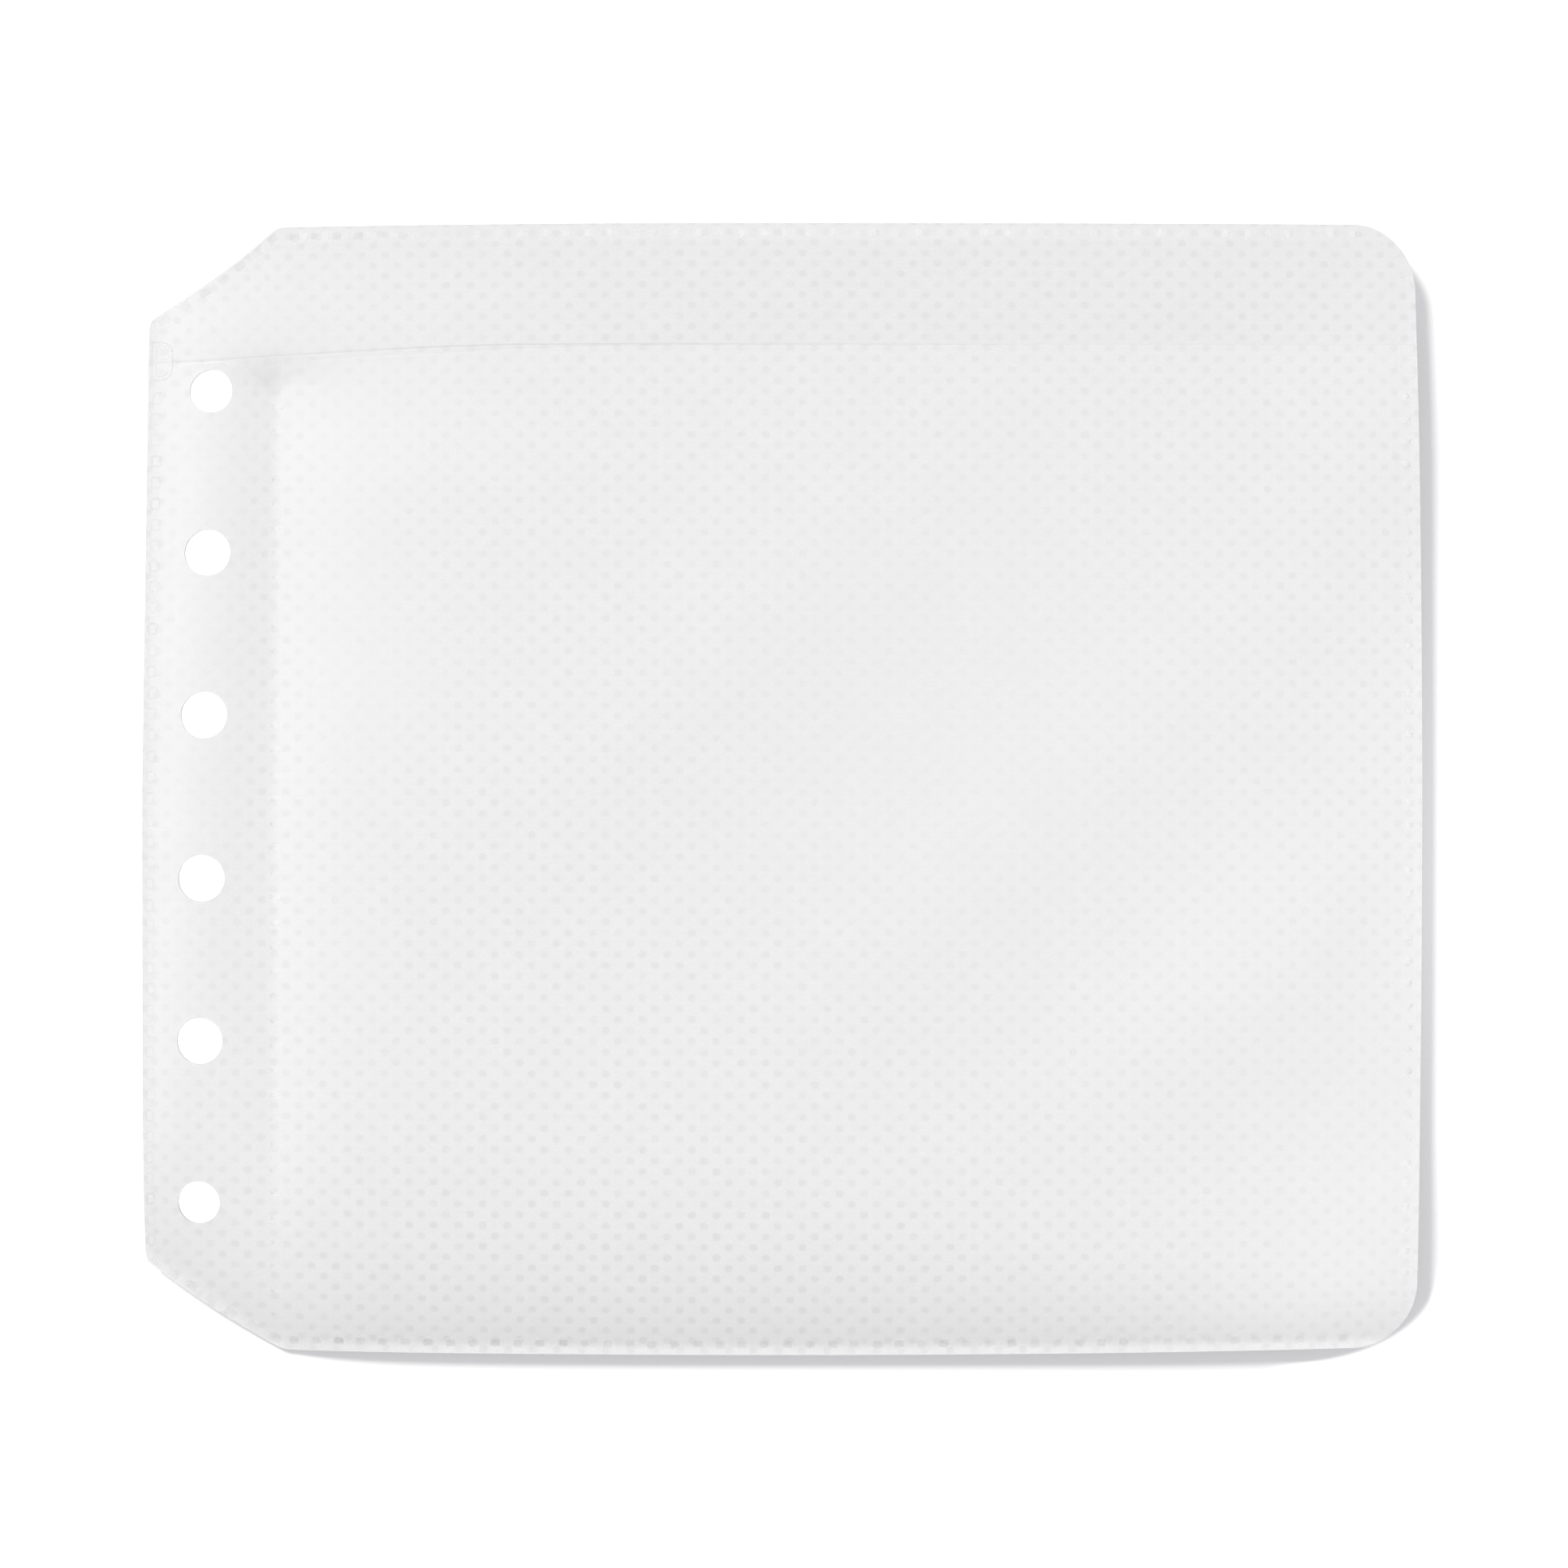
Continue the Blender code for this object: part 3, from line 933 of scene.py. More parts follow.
class NodeGraph:
    """A material's node tree, with short calls for its nodes."""

    def __init__(self, name: str) -> None:
        """Starts an empty material of that name.

        Args:
            name: the material's name.
        """
        self.material = bpy.data.materials.new(name)
        self.material.use_nodes = True
        self.tree = self.material.node_tree
        self.tree.nodes.clear()

    def add(self, kind: str, settings: dict | None = None, **inputs: object) -> bpy.types.Node:
        """Adds a node.

        Args:
            kind: the node's type.
            settings: values for the node's own properties.
            inputs: values or output sockets for its input sockets, with _ for a space in the name.

        Returns:
            The node.
        """
        node = self.tree.nodes.new(kind)
        for key, value in (settings or {}).items():
            setattr(node, key, value)
        for key, value in inputs.items():
            self.feed(node.inputs[key.replace("_", " ")], value)
        return node

    def feed(self, socket: Socket, value: object) -> None:
        """Sets an input socket, or links an output socket to it.

        Args:
            socket: the input socket.
            value: a value, or an output socket.
        """
        if isinstance(value, Socket):
            self.tree.links.new(value, socket)
        else:
            socket.default_value = value

    def math(self, operation: str, *values: object) -> Socket:
        """Adds a math node and gives its result.

        Args:
            operation: what the node does.
            values: values or output sockets for its inputs.

        Returns:
            The result's socket.
        """
        node = self.add("ShaderNodeMath", {"operation": operation})
        for socket, value in zip(node.inputs, values):
            self.feed(socket, value)
        return node.outputs[0]

    def span(self, value: object, low: float, high: float, to_low: float, to_high: float) -> Socket:
        """Maps a value smoothly from one span to another.

        Args:
            value: the value's socket.
            low: the first span's start.
            high: the first span's end.
            to_low: the second span's start.
            to_high: the second span's end.

        Returns:
            The mapped value's socket.
        """
        node = self.add("ShaderNodeMapRange", {"interpolation_type": "SMOOTHSTEP"})
        for socket, number in zip(node.inputs, (value, low, high, to_low, to_high)):
            self.feed(socket, number)
        return node.outputs[0]

    def mix(self, share: object, first: object, second: object) -> Socket:
        """Mixes two colours and gives the result's socket.

        Args:
            share: the second colour's share.
            first: the first colour.
            second: the second colour.

        Returns:
            The mixed colour's socket.
        """
        node = self.add("ShaderNodeMix", {"data_type": "RGBA"})
        self.feed(node.inputs[0], share)
        self.feed(node.inputs[6], first)
        self.feed(node.inputs[7], second)
        return node.outputs[2]

    def noise(self, place: object, scale: float, detail: float = 2.0, distortion: float = 0.0) -> Socket:
        """Adds a noise texture and gives its value's socket.

        Args:
            place: the socket of the place.
            scale: how fine the noise is.
            detail: how many finer layers it has.
            distortion: how far it is twisted.

        Returns:
            The noise's socket.
        """
        node = self.add("ShaderNodeTexNoise", Vector=place, Scale=scale, Detail=detail)
        self.feed(node.inputs["Distortion"], distortion)
        return node.outputs[0]

    def turned(self, place: object, angle: float, squeeze: float) -> Socket:
        """Turns a pattern's places, and squeezes the pattern across the turned way.

        Args:
            place: the socket of the place.
            angle: the turn, in radians.
            squeeze: how many times finer the pattern gets.

        Returns:
            The turned place's socket.
        """
        node = self.add("ShaderNodeMapping", Vector=place)
        self.feed(node.inputs["Rotation"], (0.0, 0.0, angle))
        self.feed(node.inputs["Scale"], (1.0, squeeze, 1.0))
        return node.outputs[0]

    def flat_place(self) -> Socket:
        """Gives the socket of a piece's flat cloth places."""
        return self.add("ShaderNodeUVMap", {"uv_map": FLAT_UV}).outputs[0]

    def value(self, name: str) -> Socket:
        """Gives the socket of one of a piece's own numbers."""
        return self.add("ShaderNodeAttribute", {"attribute_name": name}).outputs["Fac"]

    def bump(self, height: object, distance: float, strength: float = 1.0) -> Socket:
        """Adds a bump node and gives its normal's socket."""
        node = self.add("ShaderNodeBump", Height=height, Distance=distance, Strength=strength)
        return node.outputs[0]

    def finish(self, shader: Socket) -> Material:
        """Links a shader to the output and gives the material."""
        self.add("ShaderNodeOutputMaterial", Surface=shader)
        return self.material


@dataclass(frozen=True)
class FleeceFinish:
    """Soft white nonwoven fleece with a lattice of bond points, with painted light in patches and painted
    highlight along one diagonal of its ridges.
    """

    fibre: Colour = grey(0.842)
    fibre_light: Colour = grey(0.882)
    bond: Colour = grey(0.758)
    # Painted light: the greys of the fleece and of its bond points where the patches paint them lighter.
    painted_light_fibre: Colour = grey(0.945)
    painted_light_bond: Colour = grey(0.838)
    hazed_share: float = 0.48
    unevenness: float = 0.3
    ridge_highlight_share: float = 0.45
    roughness: float = 0.9
    sheen: float = 0.04
    lattice: BondLattice = BondLattice()
    ragged_scale: float = 2600.0
    raggedness: float = 0.08
    bond_edge: Pair = (0.24, 0.78)
    ridge_highlight_edge: Pair = (-0.55, -1.0)
    uneven_scale: float = 330.0
    fibre_turns: Pair = (0.7, -0.9)
    fibre_squeeze: float = 6.0
    fibre_scale: float = 900.0
    fibre_twist: float = 0.6
    fibre_edge: Pair = (0.9, 1.6)
    cloud_scale: float = 160.0
    cloud_share: float = 0.5
    fibre_relief: float = 0.5
    relief: float = 0.008

    def material(self) -> Material:
        """Makes the fleece's material, whose pattern follows the cloth's own flat places.

        Returns:
            The material.
        """
        graph = NodeGraph("fleece")
        place = graph.flat_place()
        parts = graph.add("ShaderNodeSeparateXYZ", Vector=place).outputs
        turn = 2.0 * math.pi
        across = graph.math("SUBTRACT", parts[0], self.lattice.shift_x * MM)
        across = graph.math("MULTIPLY", across, turn / (self.lattice.pitch * MM))
        upward = graph.math("SUBTRACT", parts[1], self.lattice.shift_y * MM)
        upward = graph.math("MULTIPLY", upward, turn / (2.0 * self.lattice.row_gap * MM))
        lattice = graph.math("MULTIPLY", graph.math("COSINE", across), graph.math("COSINE", upward))
        ragged = graph.noise(place, self.ragged_scale)
        ragged = graph.span(ragged, *NOISE_MIDDLE, -self.raggedness, self.raggedness)
        bonds = graph.span(graph.math("ADD", lattice, ragged), *self.bond_edge, 0.0, 1.0)
        # Lighter ridges along one diagonal of the bond lattice only: partly the fleece's own fibre ridges,
        # partly painted highlight on the flanks that face the key light.
        slanted = graph.math("COSINE", graph.math("SUBTRACT", across, upward))
        ridge_highlights = graph.span(slanted, *self.ridge_highlight_edge, 0.0, self.ridge_highlight_share)
        hazed = graph.span(graph.value(LIFT), 0.0, 1.0, 1.0, 1.0 - self.hazed_share)
        shown = graph.math("SUBTRACT", 1.0, graph.value(FAINT))
        uneven = graph.noise(place, self.uneven_scale, COARSE_DETAIL)
        uneven = graph.span(uneven, *NOISE_CORE, 1.0 - self.unevenness, 1.0 + self.unevenness)
        for share in (hazed, shown, uneven):
            bonds = graph.math("MULTIPLY", bonds, share)
        strands = []
        for angle in self.fibre_turns:
            leaning = graph.turned(place, angle, self.fibre_squeeze)
            strands.append(graph.noise(leaning, self.fibre_scale, FINE_DETAIL, self.fibre_twist))
        fibres = graph.math("ADD", *strands)
        cloud = graph.math("MULTIPLY", graph.noise(place, self.cloud_scale), self.cloud_share)
        fibre_share = graph.span(graph.math("ADD", fibres, cloud), *self.fibre_edge, 0.0, 1.0)
        fibre_share = graph.math("MAXIMUM", fibre_share, ridge_highlights)
        # Painted light: the fleece and its bond points are mixed towards lighter greys inside the painted
        # light patches.
        painted_light = graph.value(PAINTED_LIGHT)
        colour = graph.mix(fibre_share, self.fibre, self.fibre_light)
        colour = graph.mix(painted_light, colour, self.painted_light_fibre)
        colour = graph.mix(bonds, colour, graph.mix(painted_light, self.bond, self.painted_light_bond))
        height = graph.math("SUBTRACT", graph.math("MULTIPLY", fibres, self.fibre_relief), bonds)
        shader = graph.add(
            "ShaderNodeBsdfPrincipled",
            Base_Color=colour,
            Roughness=self.roughness,
            Specular_IOR_Level=self.sheen,
            Normal=graph.bump(height, self.relief * MM),
        )
        return graph.finish(shader.outputs[0])


@dataclass(frozen=True)
class FilmFinish:
    """Frosted film that shows the fleece where it lies close, and hazes over where it stands off, with
    painted shade along the flap's lip.
    """

    colour: Colour = grey(0.96)
    cloudy: Colour = grey(0.945)
    # Grey of the painted shade along the flap's lip: a dark line where the lifted lip would shade the film
    # below it.
    lip: Colour = grey(0.50)
    close_cover: float = 0.15
    lifted_cover: float = 0.24
    lip_shade_cover: float = 0.17
    roughness: float = 0.5
    roughness_grain: float = 0.05
    gloss: float = 0.14
    grain_scale: float = 5200.0
    cover_grain: float = 0.01
    streak_turn: float = 0.72
    streak_squeeze: float = 7.0
    streak_scale: float = 240.0
    streak_twist: float = 0.4
    streak_relief: float = 2.0
    relief: float = 0.004

    def material(self, name: str) -> Material:
        """Makes the film's material, see-through by the film's lift off the fleece.

        Args:
            name: the material's name.

        Returns:
            The material.
        """
        graph = NodeGraph(name)
        place = graph.flat_place()
        lift = graph.value(LIFT)
        lip = graph.value(PAINTED_LIP_SHADE)
        grain = graph.noise(place, self.grain_scale)
        streaked = graph.turned(place, self.streak_turn, self.streak_squeeze)
        drawn = graph.noise(streaked, self.streak_scale, FINE_DETAIL, self.streak_twist)
        colour = graph.mix(graph.span(drawn, *NOISE_CORE, 0.0, 1.0), self.colour, self.cloudy)
        # Painted shade: the dark line along the flap's lip is mixed into the colour and made more opaque.
        colour = graph.mix(lip, colour, self.lip)
        cover = graph.span(lift, 0.0, 1.0, self.close_cover, self.lifted_cover)
        uneven = graph.span(grain, *NOISE_WIDE, -self.cover_grain, self.cover_grain)
        cover = graph.math("ADD", cover, uneven)
        cover = graph.math("MAXIMUM", cover, graph.math("MULTIPLY", lip, self.lip_shade_cover))
        smoothest, roughest = self.roughness - self.roughness_grain, self.roughness + self.roughness_grain
        rough = graph.span(grain, *NOISE_WIDE, smoothest, roughest)
        height = graph.math("ADD", grain, graph.math("MULTIPLY", drawn, self.streak_relief))
        shader = graph.add(
            "ShaderNodeBsdfPrincipled",
            Base_Color=colour,
            Roughness=rough,
            IOR=FILM_IOR,
            Specular_IOR_Level=self.gloss,
            Alpha=cover,
            Normal=graph.bump(height, self.relief * MM),
        )
        return graph.finish(shader.outputs[0])


@dataclass(frozen=True)
class WeldFinish:
    """Film and fleece melted together: clear grey where it was pressed, white at its rims. The same material
    paints the shade at the seam's head and the highlights of the pleats beside the dots.
    """

    rim: Colour = grey(0.96)
    pressed: Colour = grey(0.56)
    roughness: float = 0.36
    smoother: float = 0.08
    rougher: float = 0.1
    gloss: float = 0.3
    speckle_scale: float = 3000.0
    speckle_edge: Pair = (0.25, 0.7)
    speckle_share: Pair = (0.65, 1.0)
    relief: float = 0.01

    def material(self) -> Material:
        """Makes the weld's material, greyer where it was pressed.

        Returns:
            The material.
        """
        graph = NodeGraph("fused_film_and_painted_light")
        place = graph.add("ShaderNodeTexCoord").outputs["Object"]
        # The melt value also carries the painted shade of the seam's head.
        melt = graph.value(MELT_AND_PAINTED_SHADE)
        cover = graph.value(COVER)
        speckle = graph.noise(place, self.speckle_scale, FINE_DETAIL)
        speckled = graph.span(speckle, *self.speckle_edge, *self.speckle_share)
        share = graph.math("MULTIPLY", melt, speckled)
        smoothest, roughest = self.roughness - self.smoother, self.roughness + self.rougher
        rough = graph.span(speckle, *NOISE_WIDE, smoothest, roughest)
        shader = graph.add(
            "ShaderNodeBsdfPrincipled",
            Base_Color=graph.mix(share, self.rim, self.pressed),
            Roughness=rough,
            IOR=FILM_IOR,
            Specular_IOR_Level=self.gloss,
            Alpha=cover,
            Normal=graph.bump(speckle, self.relief * MM),
        )
        return graph.finish(shader.outputs[0])


@dataclass(frozen=True)
class FloorFinish:
    """White floor that keeps the sleeve's shadow, with painted light that lightens it beside the right edge
    and round the lower right corner and hides it under the ring holes.
    """

    colour: Colour = grey(0.90)
    glow: float = 0.31
    hole_glow: float = 0.9
    hole_band: float = 6.0
    hole_room: float = 4.0
    mottle_scale: float = 40.0
    mottle_share: float = 0.985
    # Painted light that lightens the sleeve's shadow beside the right edge.
    lit_patches: tuple[Swell, ...] = (Swell((76.0, -10.0), (5.0, 30.0), 0.0, 0.10),)
    corner_centre: Pair = (58.0, -57.0)
    corner_reach: Pair = (18.4, 10.4)
    corner_edge: Pair = (0.98, 1.05)
    corner_across: Pair = (56.0, 63.0)
    corner_down: Pair = (-55.0, -61.0)
    corner_glow: float = 0.6

    def material(self, form: SleeveForm) -> Material:
        """Makes the floor's material, with painted light that makes it white to the camera where the ring
        holes show it.

        Args:
            form: the sleeve's form, for the places of its holes.

        Returns:
            The material.
        """
        graph = NodeGraph("white_floor")
        place = graph.add("ShaderNodeTexCoord").outputs["Object"]
        parts = graph.add("ShaderNodeSeparateXYZ", Vector=place).outputs
        column = sum(hole[0] for hole in form.hole_places) / len(form.hole_places)
        tall = max(hole[1] for hole in form.hole_places) + self.hole_band
        near_x = graph.math("ABSOLUTE", graph.math("SUBTRACT", parts[0], column * MM))
        near_y = graph.math("ABSOLUTE", parts[1])
        # Painted light: the floor round the column of ring holes glows white for the camera, hiding the
        # sleeve's shadow seen through the holes.
        band = graph.math("MULTIPLY", graph.math("LESS_THAN", near_x, self.hole_band * MM),
                          graph.math("LESS_THAN", near_y, (tall + self.hole_room) * MM))
        glow = graph.math("ADD", self.glow, graph.math("MULTIPLY", band, self.hole_glow))
        for patch in self.lit_patches:
            glow = graph.math("ADD", glow, self.patch_glow(graph, parts, patch))
        glow = graph.math("ADD", glow, self.corner_light(graph, place, parts))
        path = graph.add("ShaderNodeLightPath").outputs
        seen = graph.math("MAXIMUM", path["Is Camera Ray"], path["Is Glossy Ray"])
        seen = graph.math("MAXIMUM", seen, path["Is Transmission Ray"])
        mottle = graph.noise(place, self.mottle_scale)
        dull = grey(self.mottle_share * self.colour[0])
        matte = graph.add("ShaderNodeBsdfDiffuse", Color=graph.mix(mottle, self.colour, dull))
        light = graph.add("ShaderNodeEmission", Strength=graph.math("MULTIPLY", seen, glow))
        both = graph.add("ShaderNodeAddShader")
        graph.feed(both.inputs[0], matte.outputs[0])
        graph.feed(both.inputs[1], light.outputs[0])
        return graph.finish(both.outputs[0])

    def corner_light(self, graph: NodeGraph, place: Socket,
                     parts: bpy.types.bpy_prop_collection) -> Socket:
        """Gives painted light on the floor outside an oval round the lower right corner, which narrows the
        sleeve's shadow there.

        Args:
            graph: the floor's material.
            place: the socket of the place.
            parts: the sockets of the place's coordinates.

        Returns:
            The glow's socket.
        """
        centre = tuple(level * MM for level in self.corner_centre) + (0.0,)
        reach = tuple(level * MM for level in self.corner_reach) + (1.0,)
        away = place
        for operation, value in (("SUBTRACT", centre), ("DIVIDE", reach)):
            node = graph.add("ShaderNodeVectorMath", {"operation": operation})
            graph.feed(node.inputs[0], away)
            graph.feed(node.inputs[1], value)
            away = node.outputs["Vector"]
        length = graph.add("ShaderNodeVectorMath", {"operation": "LENGTH"}, Vector=away).outputs["Value"]
        glow = graph.span(length, self.corner_edge[0], self.corner_edge[1], 0.0, self.corner_glow)
        for part, (start, end) in zip(parts, (self.corner_across, self.corner_down)):
            glow = graph.math("MULTIPLY", glow, graph.span(part, start * MM, end * MM, 0.0, 1.0))
        return glow

    @staticmethod
    def patch_glow(graph: NodeGraph, parts: bpy.types.bpy_prop_collection,
                   patch: Swell) -> Socket:
        """Gives the glow of one soft patch of the floor.

        Args:
            graph: the floor's material.
            parts: the sockets of the place's coordinates.
            patch: the patch, in millimetres.

        Returns:
            The glow's socket.
        """
        turned = math.radians(patch.turn)
        across = graph.math("SUBTRACT", parts[0], patch.centre[0] * MM)
        upward = graph.math("SUBTRACT", parts[1], patch.centre[1] * MM)
        squares = []
        for first, second, reach in ((math.cos(turned), math.sin(turned), patch.reach[0]),
                                     (-math.sin(turned), math.cos(turned), patch.reach[1])):
            along = graph.math("MULTIPLY", across, first)
            along = graph.math("ADD", along, graph.math("MULTIPLY", upward, second))
            away = graph.math("ABSOLUTE", graph.math("DIVIDE", along, reach * MM))
            squares.append(graph.math("POWER", away, 2.0))
        power = graph.math("MULTIPLY", graph.math("ADD", *squares), -1.0)
        return graph.math("MULTIPLY", patch.rise, graph.math("POWER", math.e, power))


@dataclass
class Patch:
    """A sheet's mesh while it is laid out, in flat places as seen from above."""

    snap_share: ClassVar[float] = 0.3
    ring_room: ClassVar[float] = 0.45
    ring_shares: ClassVar[Pair] = (0.5, 1.0)
    x: np.ndarray
    y: np.ndarray
    faces: Faces

    @classmethod
    def cut(cls, form: SleeveForm, columns: np.ndarray, rows: np.ndarray, inset: float,
            holes: float | None) -> "Patch":
        """Cuts a grid to the sleeve's outline, with the ring holes left out.

        Args:
            form: the sleeve's form.
            columns: the grid's places along the width.
            rows: the grid's places along the height.
            inset: how far the cut stays inside the outline's sides.
            holes: the ring holes' radius, or None for a sheet without them.

        Returns:
            The cut patch.
        """
        left, right = form.side_limits(rows)
        left, right = left[:, None] + inset, right[:, None] - inset
        snap = cls.snap_share * float(np.median(np.diff(columns)))
        wide = np.clip(np.broadcast_to(columns, (len(rows), len(columns))), left, right)
        wide = np.where(wide - left < snap, left, np.where(right - wide < snap, right, wide))
        fresh = np.ones(wide.shape, bool)
        fresh[:, 1:] = np.diff(wide, axis=1) > TINY
        index = (np.cumsum(fresh.ravel()) - 1).reshape(wide.shape)
        high = np.broadcast_to(rows[:, None], wide.shape)
        x, y = list(wide[fresh]), list(high[fresh])
        used = np.ones((len(rows) - 1, len(columns) - 1), bool)
        ring_faces: Faces = []
        for place in form.hole_places if holes else ():
            radius = holes * form.hole_share(place)
            ring_faces += cls.ring(place, radius, columns, rows, index, used, x, y)
        faces = ring_faces
        for j, i in zip(*np.nonzero(used)):
            corners = (index[j, i], index[j, i + 1], index[j + 1, i + 1], index[j + 1, i])
            face = tuple(dict.fromkeys(int(corner) for corner in corners))
            if len(face) > 2:
                faces.append(face)
        return cls(np.array(x), np.array(y), faces)

    @classmethod
    def ring(cls, place: Pair, radius: float, columns: np.ndarray, rows: np.ndarray,
             index: np.ndarray, used: np.ndarray, x: list[float], y: list[float]) -> Faces:
        """Replaces the grid's cells round a ring hole by rings of faces that end on the hole's edge.

        Args:
            place: the hole's centre.
            radius: the hole's radius.
            columns: the grid's places along the width.
            rows: the grid's places along the height.
            index: the grid's point numbers.
            used: the cells that are kept, which this call changes.
            x: the points' places along the width, which this call lengthens.
            y: the points' places along the height, which this call lengthens.

        Returns:
            The rings' faces.
        """
        room = radius + cls.ring_room
        i0 = int(np.searchsorted(columns, place[0] - room)) - 1
        i1 = int(np.searchsorted(columns, place[0] + room))
        j0 = int(np.searchsorted(rows, place[1] - room)) - 1
        j1 = int(np.searchsorted(rows, place[1] + room))
        used[j0:j1, i0:i1] = False
        loop = [index[j0, i] for i in range(i0, i1)] + [index[j, i1] for j in range(j0, j1)]
        loop += [index[j1, i] for i in range(i1, i0, -1)] + [index[j, i0] for j in range(j1, j0, -1)]
        outer = [int(point) for point in loop]
        starts = [(x[point], y[point]) for point in outer]
        faces = []
        for share in cls.ring_shares:
            inner = []
            for start in starts:
                angle = math.atan2(start[1] - place[1], start[0] - place[0])
                rim = (place[0] + radius * math.cos(angle), place[1] + radius * math.sin(angle))
                inner.append(len(x))
                x.append(start[0] + (rim[0] - start[0]) * share)
                y.append(start[1] + (rim[1] - start[1]) * share)
            for k in range(len(outer)):
                after = (k + 1) % len(outer)
                faces.append((outer[k], outer[after], inner[after], inner[k]))
            outer = inner
        return faces


def graded_rows(low: float, high: float, places: np.ndarray, fine_low: bool, fine_high: bool) -> np.ndarray:
    """Adds fine rows at a sheet's ends to evenly spaced ones.

    Args:
        low: the sheet's lower end.
        high: the sheet's upper end.
        places: evenly spaced rows.
        fine_low: whether the lower end gets fine rows.
        fine_high: whether the upper end gets fine rows.

    Returns:
        The rows from end to end.
    """
    fine = np.array(FINE_ROWS)
    below = low + fine if fine_low else np.array((low,))
    above = high - fine if fine_high else np.array((high,))
    spare = 0.5 * float(np.median(np.diff(places)))
    inner = places[(places > below.max() + spare) & (places < above.min() - spare)]
    return np.sort(np.concatenate((below, inner, above)))


def make_piece(name: str, points: np.ndarray, faces: Faces, material: Material) -> Piece:
    """Makes a mesh object at the origin from points in millimetres.

    Args:
        name: the piece's name.
        points: its points.
        faces: its faces.
        material: its material.

    Returns:
        The object.
    """
    mesh = bpy.data.meshes.new(name)
    mesh.from_pydata(points * MM, [], faces)
    mesh.validate()
    mesh.materials.append(material)
    piece = bpy.data.objects.new(name, mesh)
    bpy.context.scene.collection.objects.link(piece)
    return piece


def set_values(piece: Piece, name: str, values: np.ndarray) -> None:
    """Writes one number for each point of a piece."""
    attribute = piece.data.attributes.get(name) or piece.data.attributes.new(name, "FLOAT", "POINT")
    attribute.data.foreach_set("value", np.asarray(values, np.float32))


def set_flat_uv(piece: Piece, flat_x: np.ndarray, flat_y: np.ndarray) -> None:
    """Writes a piece's flat cloth places, in metres, as its UV map.

    Args:
        piece: the piece.
        flat_x: flat places along the width, in millimetres.
        flat_y: flat places along the height, in millimetres.
    """
    layer = piece.data.uv_layers.new(name=FLAT_UV)
    corners = np.zeros(len(piece.data.loops), np.int32)
    piece.data.loops.foreach_get("vertex_index", corners)
    places = np.stack((flat_x[corners], flat_y[corners]), axis=1) * MM
    layer.data.foreach_set("uv", places.astype(np.float32).ravel())


def let_light_through(piece: Piece) -> None:
    """Keeps a thin see-through piece from shading the fleece below it."""
    piece.visible_shadow = False
    piece.visible_diffuse = False


def thicken(piece: Piece, thickness: float) -> None:
    """Gives a sheet its thickness, away from the side that its faces look to.

    Args:
        piece: the sheet.
        thickness: its thickness.
    """
    Bench.pick(piece)
    solid = piece.modifiers.new("thickness", "SOLIDIFY")
    solid.thickness = thickness * MM
    solid.offset = -1.0
    bpy.ops.object.modifier_apply(modifier=solid.name)
    bpy.ops.object.shade_smooth_by_angle(angle=math.radians(SHEET_SMOOTHING))


@dataclass
class Liner:
    """The fleece in the middle of the sleeve."""

    form: SleeveForm
    lattice: BondLattice = BondLattice()
    columns_in_pitch: float = 4.0
    rows_in_gap: float = 2.0
    quilt_edge: Pair = (0.6, 2.0)

    def build(self, material: Material) -> Piece:
        """Lays the quilted fleece out, cuts it and gives it its thickness.

        Args:
            material: the fleece's material.

        Returns:
            The liner.
        """
        form = self.form
        step_x = self.lattice.pitch / self.columns_in_pitch
        step_y = self.lattice.row_gap / self.rows_in_gap
        count_x, count_y = int(form.half_width / step_x) + 2, int(form.half_height / step_y) + 2
        columns = np.arange(-count_x, count_x + 1) * step_x + self.lattice.shift_x
        columns = form.drawn_in(columns, form.half_width)
        rows = np.arange(-count_y, count_y + 1) * step_y + self.lattice.shift_y
        rows = form.drawn_in(rows, form.half_height)
        rows = graded_rows(-form.half_height, form.half_height, rows, True, True)
        patch = Patch.cut(form, columns, rows, 0.0, form.hole_radius)
        flat_x = form.laid_flat(patch.x, form.half_width)
        flat_y = form.laid_flat(patch.y, form.half_height)
        inside = ease(*self.quilt_edge, form.edge_gap(patch.x, patch.y))
        quilt = self.lattice.relief(flat_x, flat_y) * inside
        z = form.liner_top(patch.x, patch.y) + quilt
        x, y = form.settle(patch.x, patch.y)
        piece = make_piece("sleeve_liner", np.stack((x, y, z), axis=1), patch.faces, material)
        set_flat_uv(piece, flat_x, flat_y)
        set_values(piece, LIFT, form.haze(patch.x, patch.y))
        # Painted light on the fleece, from the painted light patches.
        set_values(piece, PAINTED_LIGHT, form.painted_light(patch.x, patch.y))
        set_values(piece, FAINT, form.faint(patch.x, patch.y))
        thicken(piece, form.liner_thickness)
        return piece

    def dress(self, piece: Piece) -> None:
        """Says what the liner replaces and rides on.

        Args:
            piece: the liner.
        """
        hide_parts("liner")
        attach(piece, "sleeve")


